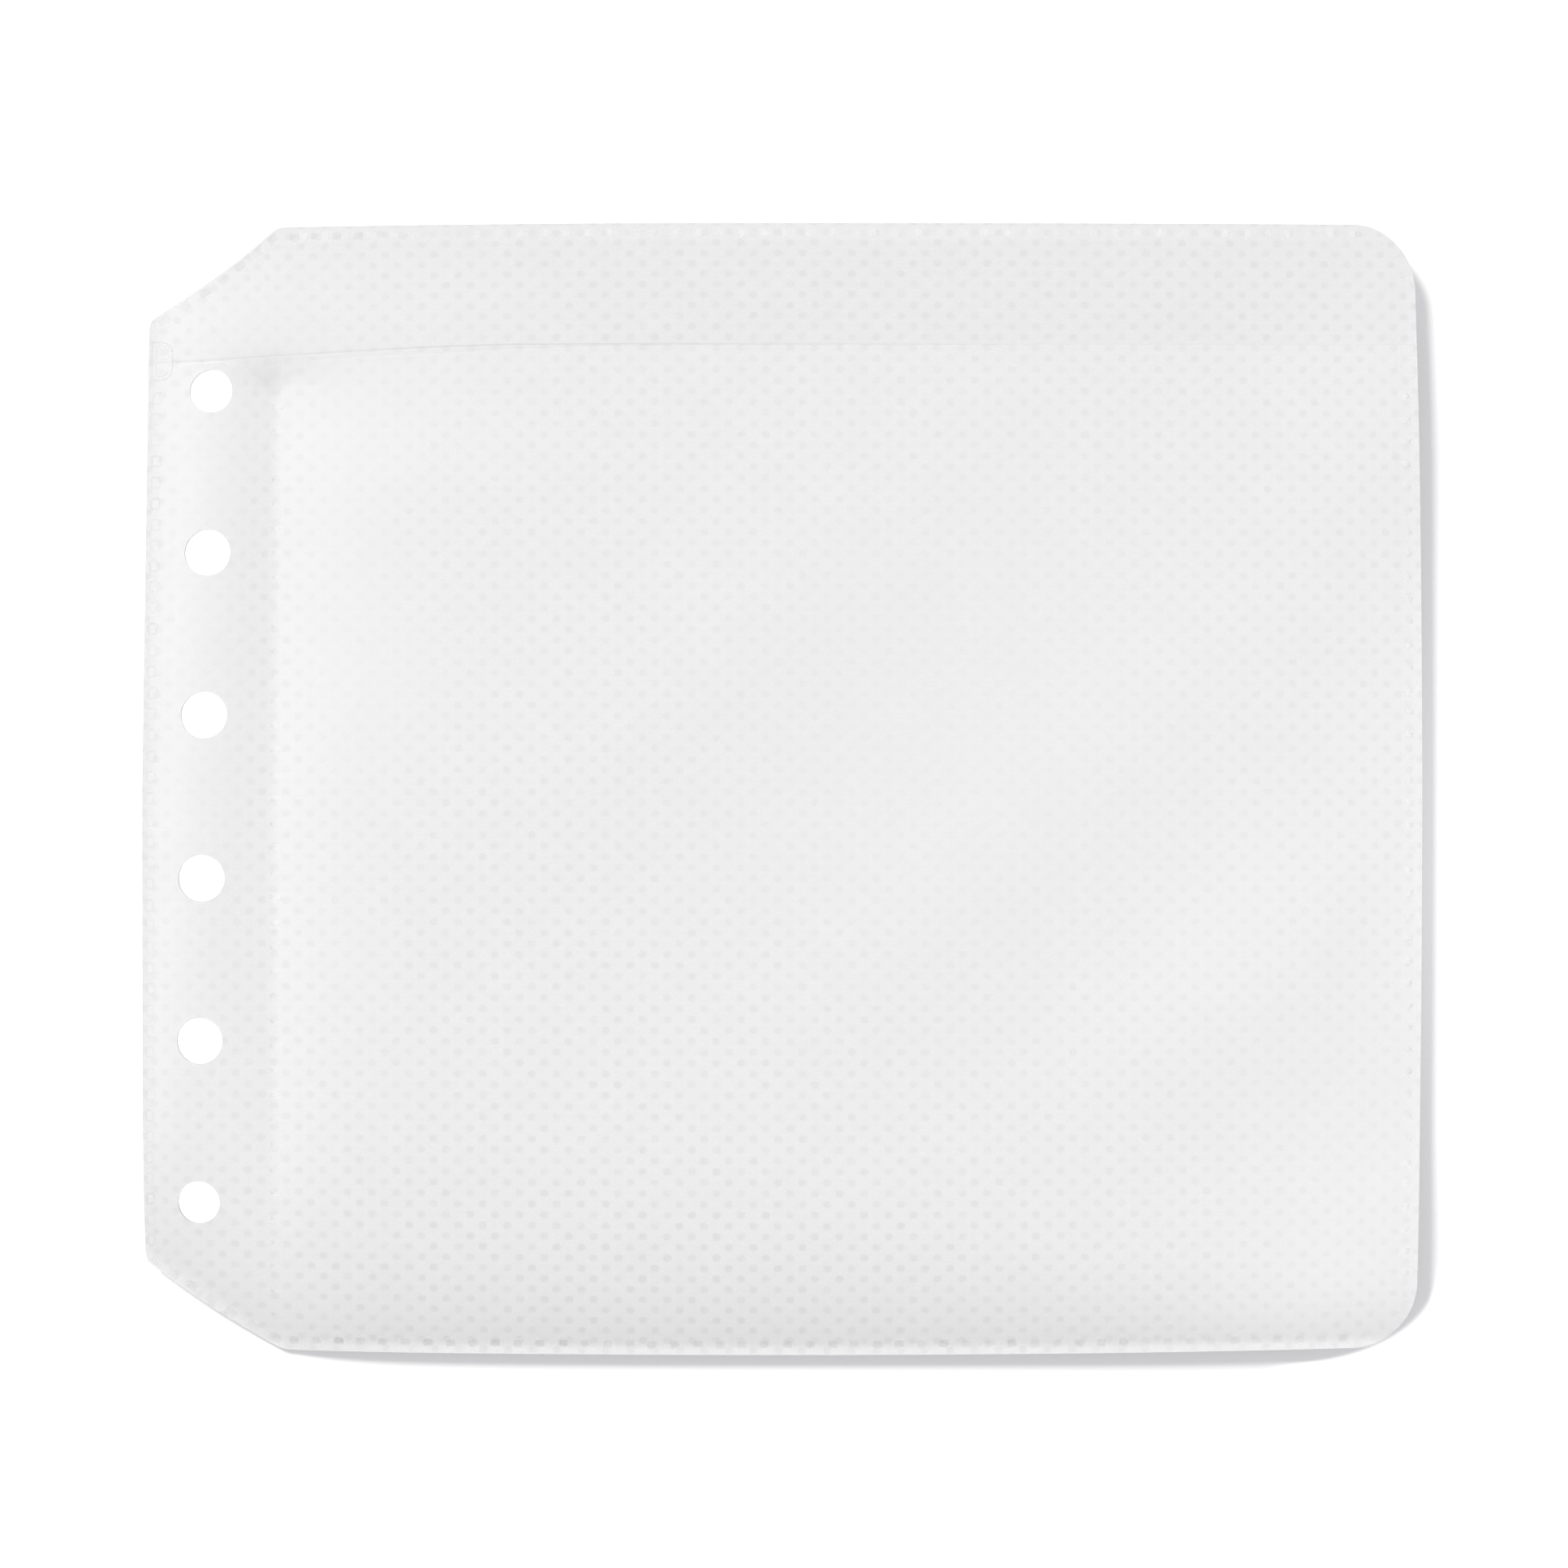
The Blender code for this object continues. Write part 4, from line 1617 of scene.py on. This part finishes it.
@dataclass
class FilmPly:
    """The film on one face of the sleeve: the pocket, and the flap over its mouth."""

    form: SleeveForm
    side: Side
    rows_of_welds: tuple[WeldRow, ...]
    grid_step: float = 0.68
    cut_inset: float = 0.05
    slit: float = 0.12
    lip_rise: float = 0.08
    lip_droop: float = 1.8
    mouth_gap: float = 0.52
    head_gap: float = 0.35
    head_place: float = -61.5
    head_reach: float = 3.0
    droop_span: Pair = (-29.0, -82.0)
    slit_loss: float = 0.85
    slit_loss_span: Pair = (0.0, 40.0)
    slit_start: Pair = (-74.0, -71.0)
    gap_start: Pair = (-18.0, -42.0)
    gap_end: Pair = (-67.0, -63.0)
    back_pucker: float = 0.5
    back_hole_room: float = 0.2
    strip_bend: float = 2.0
    pocket_bend: float = 6.0
    bend_span: Pair = (-65.0, -62.5)
    lip_fall: float = 8.0
    lip_shade_edge: Pair = (0.12, 0.27)
    lip_shade: float = 0.5
    lip_shade_gain: float = 0.4
    lip_shade_gain_span: Pair = (-62.0, -40.0)
    lip_shade_loss: float = 0.75
    lip_shade_loss_span: Pair = (-24.0, 36.0)
    fold_length: float = 5.0
    fold_rise: float = 34.0
    left_pad_end: float = 3.0
    right_pad_end: float = 1.5

    def surface(self, x: np.ndarray, y: np.ndarray) -> np.ndarray:
        """Gives the height of the film's outer face, with its puckers between weld dots.

        Args:
            x: places along the width.
            y: places along the height.

        Returns:
            The height at each place.
        """
        puckers = sum(row.ripple(x, y) for row in self.rows_of_welds)
        if self.side is Side.FRONT:
            return self.form.front_top(x, y) + puckers
        return self.form.back_bottom(x, y) - self.back_pucker * puckers

    def lip_shift(self, x: np.ndarray) -> np.ndarray:
        """Gives how far the flap's lip lies above the straight mouth line."""
        return self.lip_rise - self.lip_droop * ease(*self.droop_span, x)

    def mouth_shift(self, x: np.ndarray) -> np.ndarray:
        """Gives how far the pocket's mouth lies above the straight mouth line.

        Args:
            x: places along the width.

        Returns:
            The shift at each place.
        """
        slit = self.slit * (1.0 - self.slit_loss * ease(*self.slit_loss_span, x)) * ease(*self.slit_start, x)
        gap = self.mouth_gap * ease(*self.gap_start, x) * ease(*self.gap_end, x)
        head = self.head_gap * np.exp(-(((x - self.head_place) / self.head_reach) ** 2))
        return self.lip_shift(x) - slit - gap - head

    def grid_columns(self) -> np.ndarray:
        """Gives the film grid's places along the width."""
        count = int(self.form.half_width / self.grid_step) + 1
        return np.arange(-count, count + 1) * self.grid_step

    def lay(self, name: str, patch: Patch, shift: np.ndarray, material: Material) -> Piece:
        """Lays a cut patch of film over the sleeve and gives it its thickness.

        Args:
            name: the piece's name.
            patch: the cut patch.
            shift: how far each point moves along the height for the curved mouth.
            material: the film's material.

        Returns:
            The film piece.
        """
        form = self.form
        high = patch.y + shift
        z = self.surface(patch.x, high)
        x, y = form.settle(patch.x, high)
        faces = patch.faces
        if self.side is Side.BACK:
            faces = [face[::-1] for face in faces]
        piece = make_piece(name, np.stack((x, y, z), axis=1), faces, material)
        set_flat_uv(piece, patch.x, patch.y)
        set_values(piece, LIFT, form.haze(patch.x, high))
        return piece

    def build_pocket(self, material: Material) -> Piece:
        """Builds the pocket's film, with its ring holes.

        Args:
            material: the film's material.

        Returns:
            The pocket film.
        """
        form = self.form
        count = int(form.half_height / self.grid_step) + 1
        rows = np.arange(-count, count + 1) * self.grid_step
        rows = graded_rows(-form.half_height + self.cut_inset, form.mouth_line, rows, True, False)
        radius = form.hole_radius if self.side is Side.FRONT else form.hole_radius + self.back_hole_room
        patch = Patch.cut(form, self.grid_columns(), rows, self.cut_inset, radius)
        reach = self.strip_bend + self.pocket_bend * ease(*self.bend_span, patch.x)
        shift = self.mouth_shift(patch.x) * ease(0.0, 1.0, (patch.y - form.mouth_line + reach) / reach)
        piece = self.lay(f"{self.side.value}_pocket_sheet", patch, shift, material)
        # The pocket film gets no painted lip shade.
        set_values(piece, PAINTED_LIP_SHADE, np.zeros(len(patch.x)))
        thicken(piece, form.film_thickness)
        return piece

    def build_flap(self, material: Material) -> Piece:
        """Builds the flap's film, from its lip up to the top edge.

        Args:
            material: the film's material.

        Returns:
            The flap film.
        """
        form = self.form
        top = form.half_height - self.cut_inset
        count = int((top - form.mouth_line) / self.grid_step)
        rows = form.mouth_line + np.arange(count + 1) * self.grid_step
        rows = graded_rows(form.mouth_line, top, rows, True, True)
        patch = Patch.cut(form, self.grid_columns(), rows, self.cut_inset, None)
        shift = self.lip_shift(patch.x)
        shift = shift * (1.0 - ease(form.mouth_line, form.mouth_line + self.lip_fall, patch.y))
        piece = self.lay(f"{self.side.value}_flap_sheet", patch, shift, material)
        # Painted shade along the lip: a dark line where the lifted lip would shade the pocket film, darkest
        # a third of the way from the left end and fading towards the right.
        edge = 1.0 - ease(*self.lip_shade_edge, patch.y - form.mouth_line)
        gain = self.lip_shade_gain * ease(*self.lip_shade_gain_span, patch.x)
        loss = self.lip_shade_loss * ease(*self.lip_shade_loss_span, patch.x)
        set_values(piece, PAINTED_LIP_SHADE, edge * (self.lip_shade + gain - loss))
        thicken(piece, form.film_thickness)
        return piece

    def dress_pocket(self, piece: Piece) -> None:
        """Says what the pocket's film replaces and rides on.

        Args:
            piece: the pocket's film.
        """
        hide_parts(f"{self.side.value}_pocket_film")
        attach(piece, "sleeve")
        let_light_through(piece)

    def dress_flap(self, piece: Piece) -> None:
        """Says what the flap's film replaces and bends with.

        Args:
            piece: the flap's film.
        """
        form = self.form
        body = f"{self.side.value}_flap"
        joint = next(joint for joint in frame["joints"] if joint["child"] == body)
        hinge = np.array(joint["pos_m"]) / MM
        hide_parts(f"{body}_film")
        fold_end = hinge[1] - self.fold_length
        start = (0.0, hinge[1] * MM, hinge[2] * MM)
        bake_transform(piece, "sleeve", body, start=start, end=(0.0, fold_end * MM, hinge[2] * MM))
        place = np.array([vertex.co[:] for vertex in piece.data.vertices]) / MM
        fold = ease(hinge[1], fold_end, place[:, 1])
        from_left = place[:, 0] + form.half_width - self.left_pad_end
        from_right = form.half_width - self.right_pad_end - place[:, 0]
        ends = np.minimum(from_left, from_right)
        set_values(piece, BLEND_WEIGHTS, fold * ease(0.0, self.fold_rise, ends))
        let_light_through(piece)


@dataclass(frozen=True)
class DotScatter:
    """How much the dots and pleats of a row differ from each other."""

    turn: float = 0.08
    place: float = 0.05
    melt: Pair = (0.6, 1.1)
    cover: Pair = (0.65, 1.1)
    highlight_pleat_ahead: float = 0.15
    highlight_pleat_cover: Pair = (0.3, 1.0)


@dataclass
class WeldSet:
    """All welds on one face of the sleeve."""

    form: SleeveForm
    film: FilmPly
    pad_size: Pair = (2.5, 4.9)
    pad_rounding: float = 1.5
    pad_inset: float = 1.45
    pad_drop: float = 1.4
    pad_melts: Pair = (1.0, 0.6)
    pad_covers: Pair = (0.85, 0.4)
    head_size: Pair = (6.6, 3.1)
    head_shift: Pair = (-0.3, 1.0)
    head_shade_cover: float = 0.33
    scatter: DotScatter = DotScatter()

    def press(self, name: str, stamps: list[tuple[Stamp, Vector, Vector, float, float]],
              material: Material) -> Piece:
        """Presses copies of stamps onto the film and joins them as one weld.

        Args:
            name: the piece's name.
            stamps: each stamp with its centre, direction, share of melted grey and share of cover.
            material: the weld's material.

        Returns:
            The weld.
        """
        outward = 1.0 if self.film.side is Side.FRONT else -1.0
        points, faces, melts, covers = [], [], [], []
        count = 0
        for stamp, centre, way, share, cover in stamps:
            local = stamp.points
            x = centre.x + local[:, 0] * way.x - local[:, 1] * way.y
            y = centre.y + local[:, 0] * way.y + local[:, 1] * way.x
            z = self.film.surface(x, y) + outward * local[:, 2]
            x, y = self.form.settle(x, y)
            points.append(np.stack((x, y, z), axis=1))
            step = 1 if outward > 0.0 else -1
            faces += [tuple(corner + count for corner in face)[::step] for face in stamp.faces]
            melts.append(stamp.melt * share)
            covers.append(stamp.cover * cover)
            count += len(local)
        piece = make_piece(name, np.concatenate(points), faces, material)
        set_values(piece, MELT_AND_PAINTED_SHADE, np.concatenate(melts))
        set_values(piece, COVER, np.concatenate(covers))
        let_light_through(piece)
        Bench.pick(piece)
        bpy.ops.object.shade_smooth_by_angle(angle=math.radians(WELD_SMOOTHING))
        return piece

    def build_rows(self, material: Material) -> list[tuple[Piece, str]]:
        """Builds the rows of weld dots.

        Args:
            material: the weld's material.

        Returns:
            Each weld with the CAD node that it stands for.
        """
        side, scatter = self.film.side.value, self.scatter
        made = []
        for row in self.film.rows_of_welds:
            chance = np.random.default_rng(DOT_SEED)
            dot = Stamp.dot(row.dot_size, row.style, row.rim)
            highlight_pleat = Stamp.highlight_pleat(row.highlight_pleat.size) if row.highlight_pleat else None
            stamps = []
            for centre, way in row.stations():
                turn_x = chance.normal(0.0, scatter.turn)
                turn_y = chance.normal(0.0, scatter.turn)
                turned = Vector((way.x - way.y * turn_x, way.y + way.x * turn_y))
                place = centre + Vector(chance.normal(0.0, scatter.place, 2))
                melt = row.melt * chance.uniform(*scatter.melt)
                cover = row.cover_at(centre) * chance.uniform(*scatter.cover)
                stamps.append((dot, place, turned.normalized(), melt, cover))
                # Painted highlight: a pale pleat beside each dot stands in for the glint where the weld
                # catches the light.
                if row.highlight_pleat:
                    ahead = row.highlight_pleat.ahead + chance.normal(0.0, scatter.highlight_pleat_ahead)
                    beside = centre + Vector((-way.y, way.x)) * row.highlight_pleat.aside + way * ahead
                    cover = row.highlight_pleat.cover * chance.uniform(*scatter.highlight_pleat_cover)
                    stamps.append((highlight_pleat, beside, turned.normalized(), 0.0, cover))
            # Painted shade: the grey wedge at the seam's head stands in for the shade where the film
            # puckers.
            if row.name == "pocket_seam_weld":
                place = Vector((self.form.seam_line, row.path[0][1])) + Vector(self.head_shift)
                head = Stamp.seam_head_shade(self.head_size)
                stamps.append((head, place, Vector((1.0, 0.0)), 1.0, self.head_shade_cover))
            node = f"{side}_{row.name}"
            made.append((self.press(f"{node}_dots", stamps, material), node))
        return made

    def build_pads(self, material: Material) -> list[tuple[Piece, str]]:
        """Builds the two pads at the ends of the mouth.

        Args:
            material: the weld's material.

        Returns:
            Each pad with the CAD node that it stands for.
        """
        side = self.film.side.value
        pad = Stamp.mouth_pad(self.pad_size, self.pad_rounding)
        made = []
        for end, way, melt, cover in zip(("left", "right"), (1.0, -1.0), self.pad_melts, self.pad_covers):
            place = (-way * (self.form.half_width - self.pad_inset), self.form.mouth_line - self.pad_drop)
            stamps = [(pad, Vector(place), Vector((way, 0.0)), melt, cover)]
            node = f"{side}_mouth_pad_{end}"
            made.append((self.press(f"{node}_melt", stamps, material), node))
        return made

    def dress(self, piece: Piece, node: str) -> None:
        """Says what a weld replaces and rides on.

        Args:
            piece: the weld.
            node: the CAD node that it stands for.
        """
        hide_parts(node)
        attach(piece, "sleeve")


@dataclass(frozen=True)
class WeldPlan:
    """Where the rows of weld dots run, and how each is pressed."""

    form: SleeveForm
    inset: float = 1.25
    edge_inset: float = 0.95
    chamfer_inset: float = 0.80
    pad_clear: float = 4.6
    end_clear: float = 0.8
    hem_lift: float = 0.05
    seam_shift: float = 0.2
    seam_head_clear: float = 0.9
    seam_foot_clear: float = 1.6
    corner_steps: int = 12

    def chamfer_path(self, up: float) -> Points:
        """Gives the path along a cut-off corner, up for the upper one or down for the lower one.

        Args:
            up: 1 for the upper corner, -1 for the lower one.

        Returns:
            The path's two ends.
        """
        form = self.form
        run, rise = (form.chamfer_run, form.chamfer_rise) if up > 0.0 else (form.lower_run, form.lower_rise)
        inward = Vector((rise, -run * up)) / math.hypot(run, rise) * self.chamfer_inset
        start = Vector((-form.half_width, up * (form.half_height - rise)))
        end = Vector((-form.half_width + run, up * form.half_height))
        return [tuple(start + inward), tuple(end + inward)]

    def corner_path(self, up: float) -> Points:
        """Gives the path round a right-hand corner, up for the upper one or down for the lower one.

        Args:
            up: 1 for the upper corner, -1 for the lower one.

        Returns:
            The path's points.
        """
        form = self.form
        radius = form.corner_radius - self.inset
        points = []
        for step in range(self.corner_steps + 1):
            angle = up * math.radians(90.0 * step / self.corner_steps)
            points.append((form.half_width - form.corner_radius + radius * math.cos(angle),
                           up * (form.half_height - form.corner_radius) + radius * math.sin(angle)))
        return points

    def rows(self) -> tuple[WeldRow, ...]:
        """Gives the rows of one face.

        Returns:
            The rows, each named for its CAD node.
        """
        form = self.form
        left = -form.half_width + self.edge_inset
        right = form.half_width - self.inset
        end = form.half_height - form.chamfer_rise
        bend = form.half_height - form.corner_radius
        start = -form.half_width + form.chamfer_run + self.end_clear
        stop = form.half_width - form.corner_radius
        low, high = -form.half_height + self.inset, form.half_height - self.inset
        hem = high + self.hem_lift
        pads = form.mouth_line - self.pad_clear
        seam = form.seam_line - self.seam_shift
        seam_path = ((seam, pads - self.seam_head_clear), (seam, low + self.seam_foot_clear))
        return (
            WeldRow(
                "left_edge_weld", ((left, -end + self.end_clear), (left, pads)), pitch=2.5,
                dot_size=(1.05, 0.75), style=DotStyle.RING, melt=0.75, rim=0.015, cover=0.65,
            ),
            WeldRow(
                "lower_left_corner_weld", tuple(self.chamfer_path(-1.0)), pitch=2.85,
                dot_size=(1.3, 0.9), melt=0.75, rim=0.006, cover=0.62,
            ),
            WeldRow(
                "bottom_edge_weld", ((start, low), (stop, low)), pitch=2.63,
                dot_size=(1.05, 0.85), melt=1.0, rim=0.03, cover=0.30,
                start_cover=0.58, start_reach=112.0,
            ),
            WeldRow(
                "lower_right_corner_weld", tuple(self.corner_path(-1.0)), pitch=2.6,
                dot_size=(0.7, 0.7), melt=0.4, cover=0.3,
            ),
            WeldRow(
                "right_edge_weld", ((right, -bend), (right, pads)), pitch=2.66,
                dot_size=(0.7, 0.5), melt=0.35, rim=0.015, cover=0.3,
                highlight_pleat=HighlightPleatPlan(aside=0.5, ahead=0.0, size=(1.1, 0.8), cover=0.8),
            ),
            WeldRow(
                "upper_right_corner_weld", tuple(self.corner_path(1.0)), pitch=2.6,
                dot_size=(0.7, 0.7), melt=0.4, cover=0.3,
            ),
            WeldRow(
                "flap_hem", ((start, hem), (stop, hem)), pitch=2.6,
                dot_size=(1.1, 0.8), melt=0.9, rim=0.012, cover=0.09, start_cover=0.6,
                highlight_pleat=HighlightPleatPlan(aside=0.0, ahead=1.2, size=(0.95, 1.2), cover=0.75),
            ),
            WeldRow(
                "upper_left_corner_weld", tuple(self.chamfer_path(1.0)), pitch=2.85,
                dot_size=(1.3, 0.9), melt=0.75, rim=0.006, cover=0.62,
            ),
            WeldRow(
                "pocket_seam_weld", seam_path, pitch=2.85,
                dot_size=(0.6, 0.55), melt=0.35, rim=0.02, cover=0.35,
                highlight_pleat=HighlightPleatPlan(aside=0.7, ahead=0.0, size=(0.95, 1.2), cover=0.5),
            ),
        )


@dataclass(frozen=True)
class Studio:
    """The floor, the lights and the camera."""

    frame_width: float = 183.4
    frame_shift: float = 0.57
    camera_height: float = 600.0
    sensor: float = 36.0
    key_way: tuple[float, float, float] = (-0.507, 0.583, 0.634)
    key_spread: float = 18.0
    key_power: float = 2.85
    key_tint: tuple[float, float, float] = (1.0, 0.999, 0.968)
    fill: Colour = (0.95, 0.946, 1.0, 1.0)
    fill_strength: float = 0.41
    floor_size: float = 6000.0
    floor_drop: float = 0.02

    def build(self, form: SleeveForm) -> None:
        """Sets up the floor, the lights, the world and the camera.

        Args:
            form: the sleeve's form.
        """
        self.add_floor(form)
        self.add_key()
        self.set_world()
        self.add_camera(form)
        bpy.context.scene.view_settings.view_transform = "Standard"

    def add_floor(self, form: SleeveForm) -> None:
        """Adds the floor on the plane that the sleeve lies on.

        Args:
            form: the sleeve's form.
        """
        Bench.clear()
        place = (0.0, 0.0, -self.floor_drop * MM)
        bpy.ops.mesh.primitive_plane_add(size=self.floor_size * MM, location=place)
        floor = bpy.context.object
        floor.name = "floor"
        bpy.ops.object.transform_apply(location=True, rotation=True, scale=True)
        floor.data.materials.append(FloorFinish().material(form))

    def add_key(self) -> None:
        """Adds the soft key light, up and to the left."""
        way = Vector(self.key_way).normalized()
        lamp = bpy.data.lights.new("key", "SUN")
        lamp.angle = math.radians(self.key_spread)
        lamp.energy = self.key_power
        lamp.color = self.key_tint
        key = bpy.data.objects.new("key", lamp)
        key.location = way
        key.rotation_mode = "QUATERNION"
        key.rotation_quaternion = way.to_track_quat("Z", "Y")
        bpy.context.scene.collection.objects.link(key)

    def set_world(self) -> None:
        """Sets an even fill light, and white for the rays that the camera sees straight or by a shine."""
        world = bpy.data.worlds.new("studio")
        bpy.context.scene.world = world
        world.use_nodes = True
        tree = world.node_tree
        tree.nodes.clear()
        fill = tree.nodes.new("ShaderNodeBackground")
        fill.inputs[0].default_value = self.fill
        fill.inputs[1].default_value = self.fill_strength
        white = tree.nodes.new("ShaderNodeBackground")
        white.inputs[0].default_value = grey(1.0)
        path = tree.nodes.new("ShaderNodeLightPath")
        choose = tree.nodes.new("ShaderNodeMixShader")
        output = tree.nodes.new("ShaderNodeOutputWorld")
        seen = path.outputs["Is Camera Ray"]
        for ray in ("Is Glossy Ray", "Is Transmission Ray"):
            either = tree.nodes.new("ShaderNodeMath")
            either.operation = "MAXIMUM"
            tree.links.new(seen, either.inputs[0])
            tree.links.new(path.outputs[ray], either.inputs[1])
            seen = either.outputs[0]
        tree.links.new(seen, choose.inputs[0])
        tree.links.new(fill.outputs[0], choose.inputs[1])
        tree.links.new(white.outputs[0], choose.inputs[2])
        tree.links.new(choose.outputs[0], output.inputs[0])

    def add_camera(self, form: SleeveForm) -> None:
        """Adds the camera, straight above the sleeve.

        Args:
            form: the sleeve's form.
        """
        lens = bpy.data.cameras.new("camera")
        lens.sensor_width = self.sensor
        lens.lens = self.sensor * self.camera_height / self.frame_width
        camera = bpy.data.objects.new("camera", lens)
        camera.location = (0.0, self.frame_shift * MM, (self.camera_height + form.edge_height) * MM)
        bpy.context.scene.collection.objects.link(camera)
        bpy.context.scene.camera = camera


def read_form() -> SleeveForm:
    """Reads the sleeve's main sizes from the CAD nodes and the record.

    Returns:
        The sleeve's form.
    """
    low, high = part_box("liner")
    seam_low, seam_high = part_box("front_pocket_seam_weld")
    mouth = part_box("front_flap_film")[0].y
    holes = []
    for opening in frame["record"]["physics"]["openings"]:
        corner, other = opening["box_m"]
        holes.append(((corner[0] + other[0]) / 2.0 / MM, (corner[1] + other[1]) / 2.0 / MM))
    return SleeveForm(
        half_width=(high.x - low.x) / 2.0 / MM,
        half_height=(high.y - low.y) / 2.0 / MM,
        seam_line=(seam_low.x + seam_high.x) / 2.0 / MM,
        mouth_line=mouth / MM,
        hole_places=tuple(holes),
    )


def report(piece: Piece) -> None:
    """Logs a piece's faces and its lowest and highest points.

    Args:
        piece: the piece.
    """
    heights = [vertex.co.z / MM for vertex in piece.data.vertices]
    faces = len(piece.data.polygons)
    log.info("%s: %d faces, %.2f to %.2f mm high", piece.name, faces, min(heights), max(heights))


def main() -> None:
    """Builds the sleeve's plies and welds, dresses them and sets up the studio."""
    logging.basicConfig(level=logging.INFO, format="%(name)s: %(message)s")
    form = read_form()
    fleece = FleeceFinish().material()
    film = FilmFinish().material("pocket_film")
    # The flap's film is a darker copy of the pocket film, greyer and thinner in cover: painted shade over
    # the flap band.
    shaded_flap_finish = FilmFinish(colour=grey(0.90), cloudy=grey(0.885), close_cover=0.11, lifted_cover=0.2)
    flap_film = shaded_flap_finish.material("flap_film")
    fused_and_painted = WeldFinish().material()
    liner = Liner(form)
    piece = liner.build(fleece)
    liner.dress(piece)
    report(piece)
    welds = WeldPlan(form).rows()
    for side in Side:
        ply = FilmPly(form, side, welds)
        pocket = ply.build_pocket(film)
        ply.dress_pocket(pocket)
        report(pocket)
        flap = ply.build_flap(flap_film)
        ply.dress_flap(flap)
        report(flap)
        weld_set = WeldSet(form, ply)
        for weld, node in weld_set.build_rows(fused_and_painted) + weld_set.build_pads(fused_and_painted):
            weld_set.dress(weld, node)
            report(weld)
    Studio().build(form)


if __name__ == "__main__":
    main()
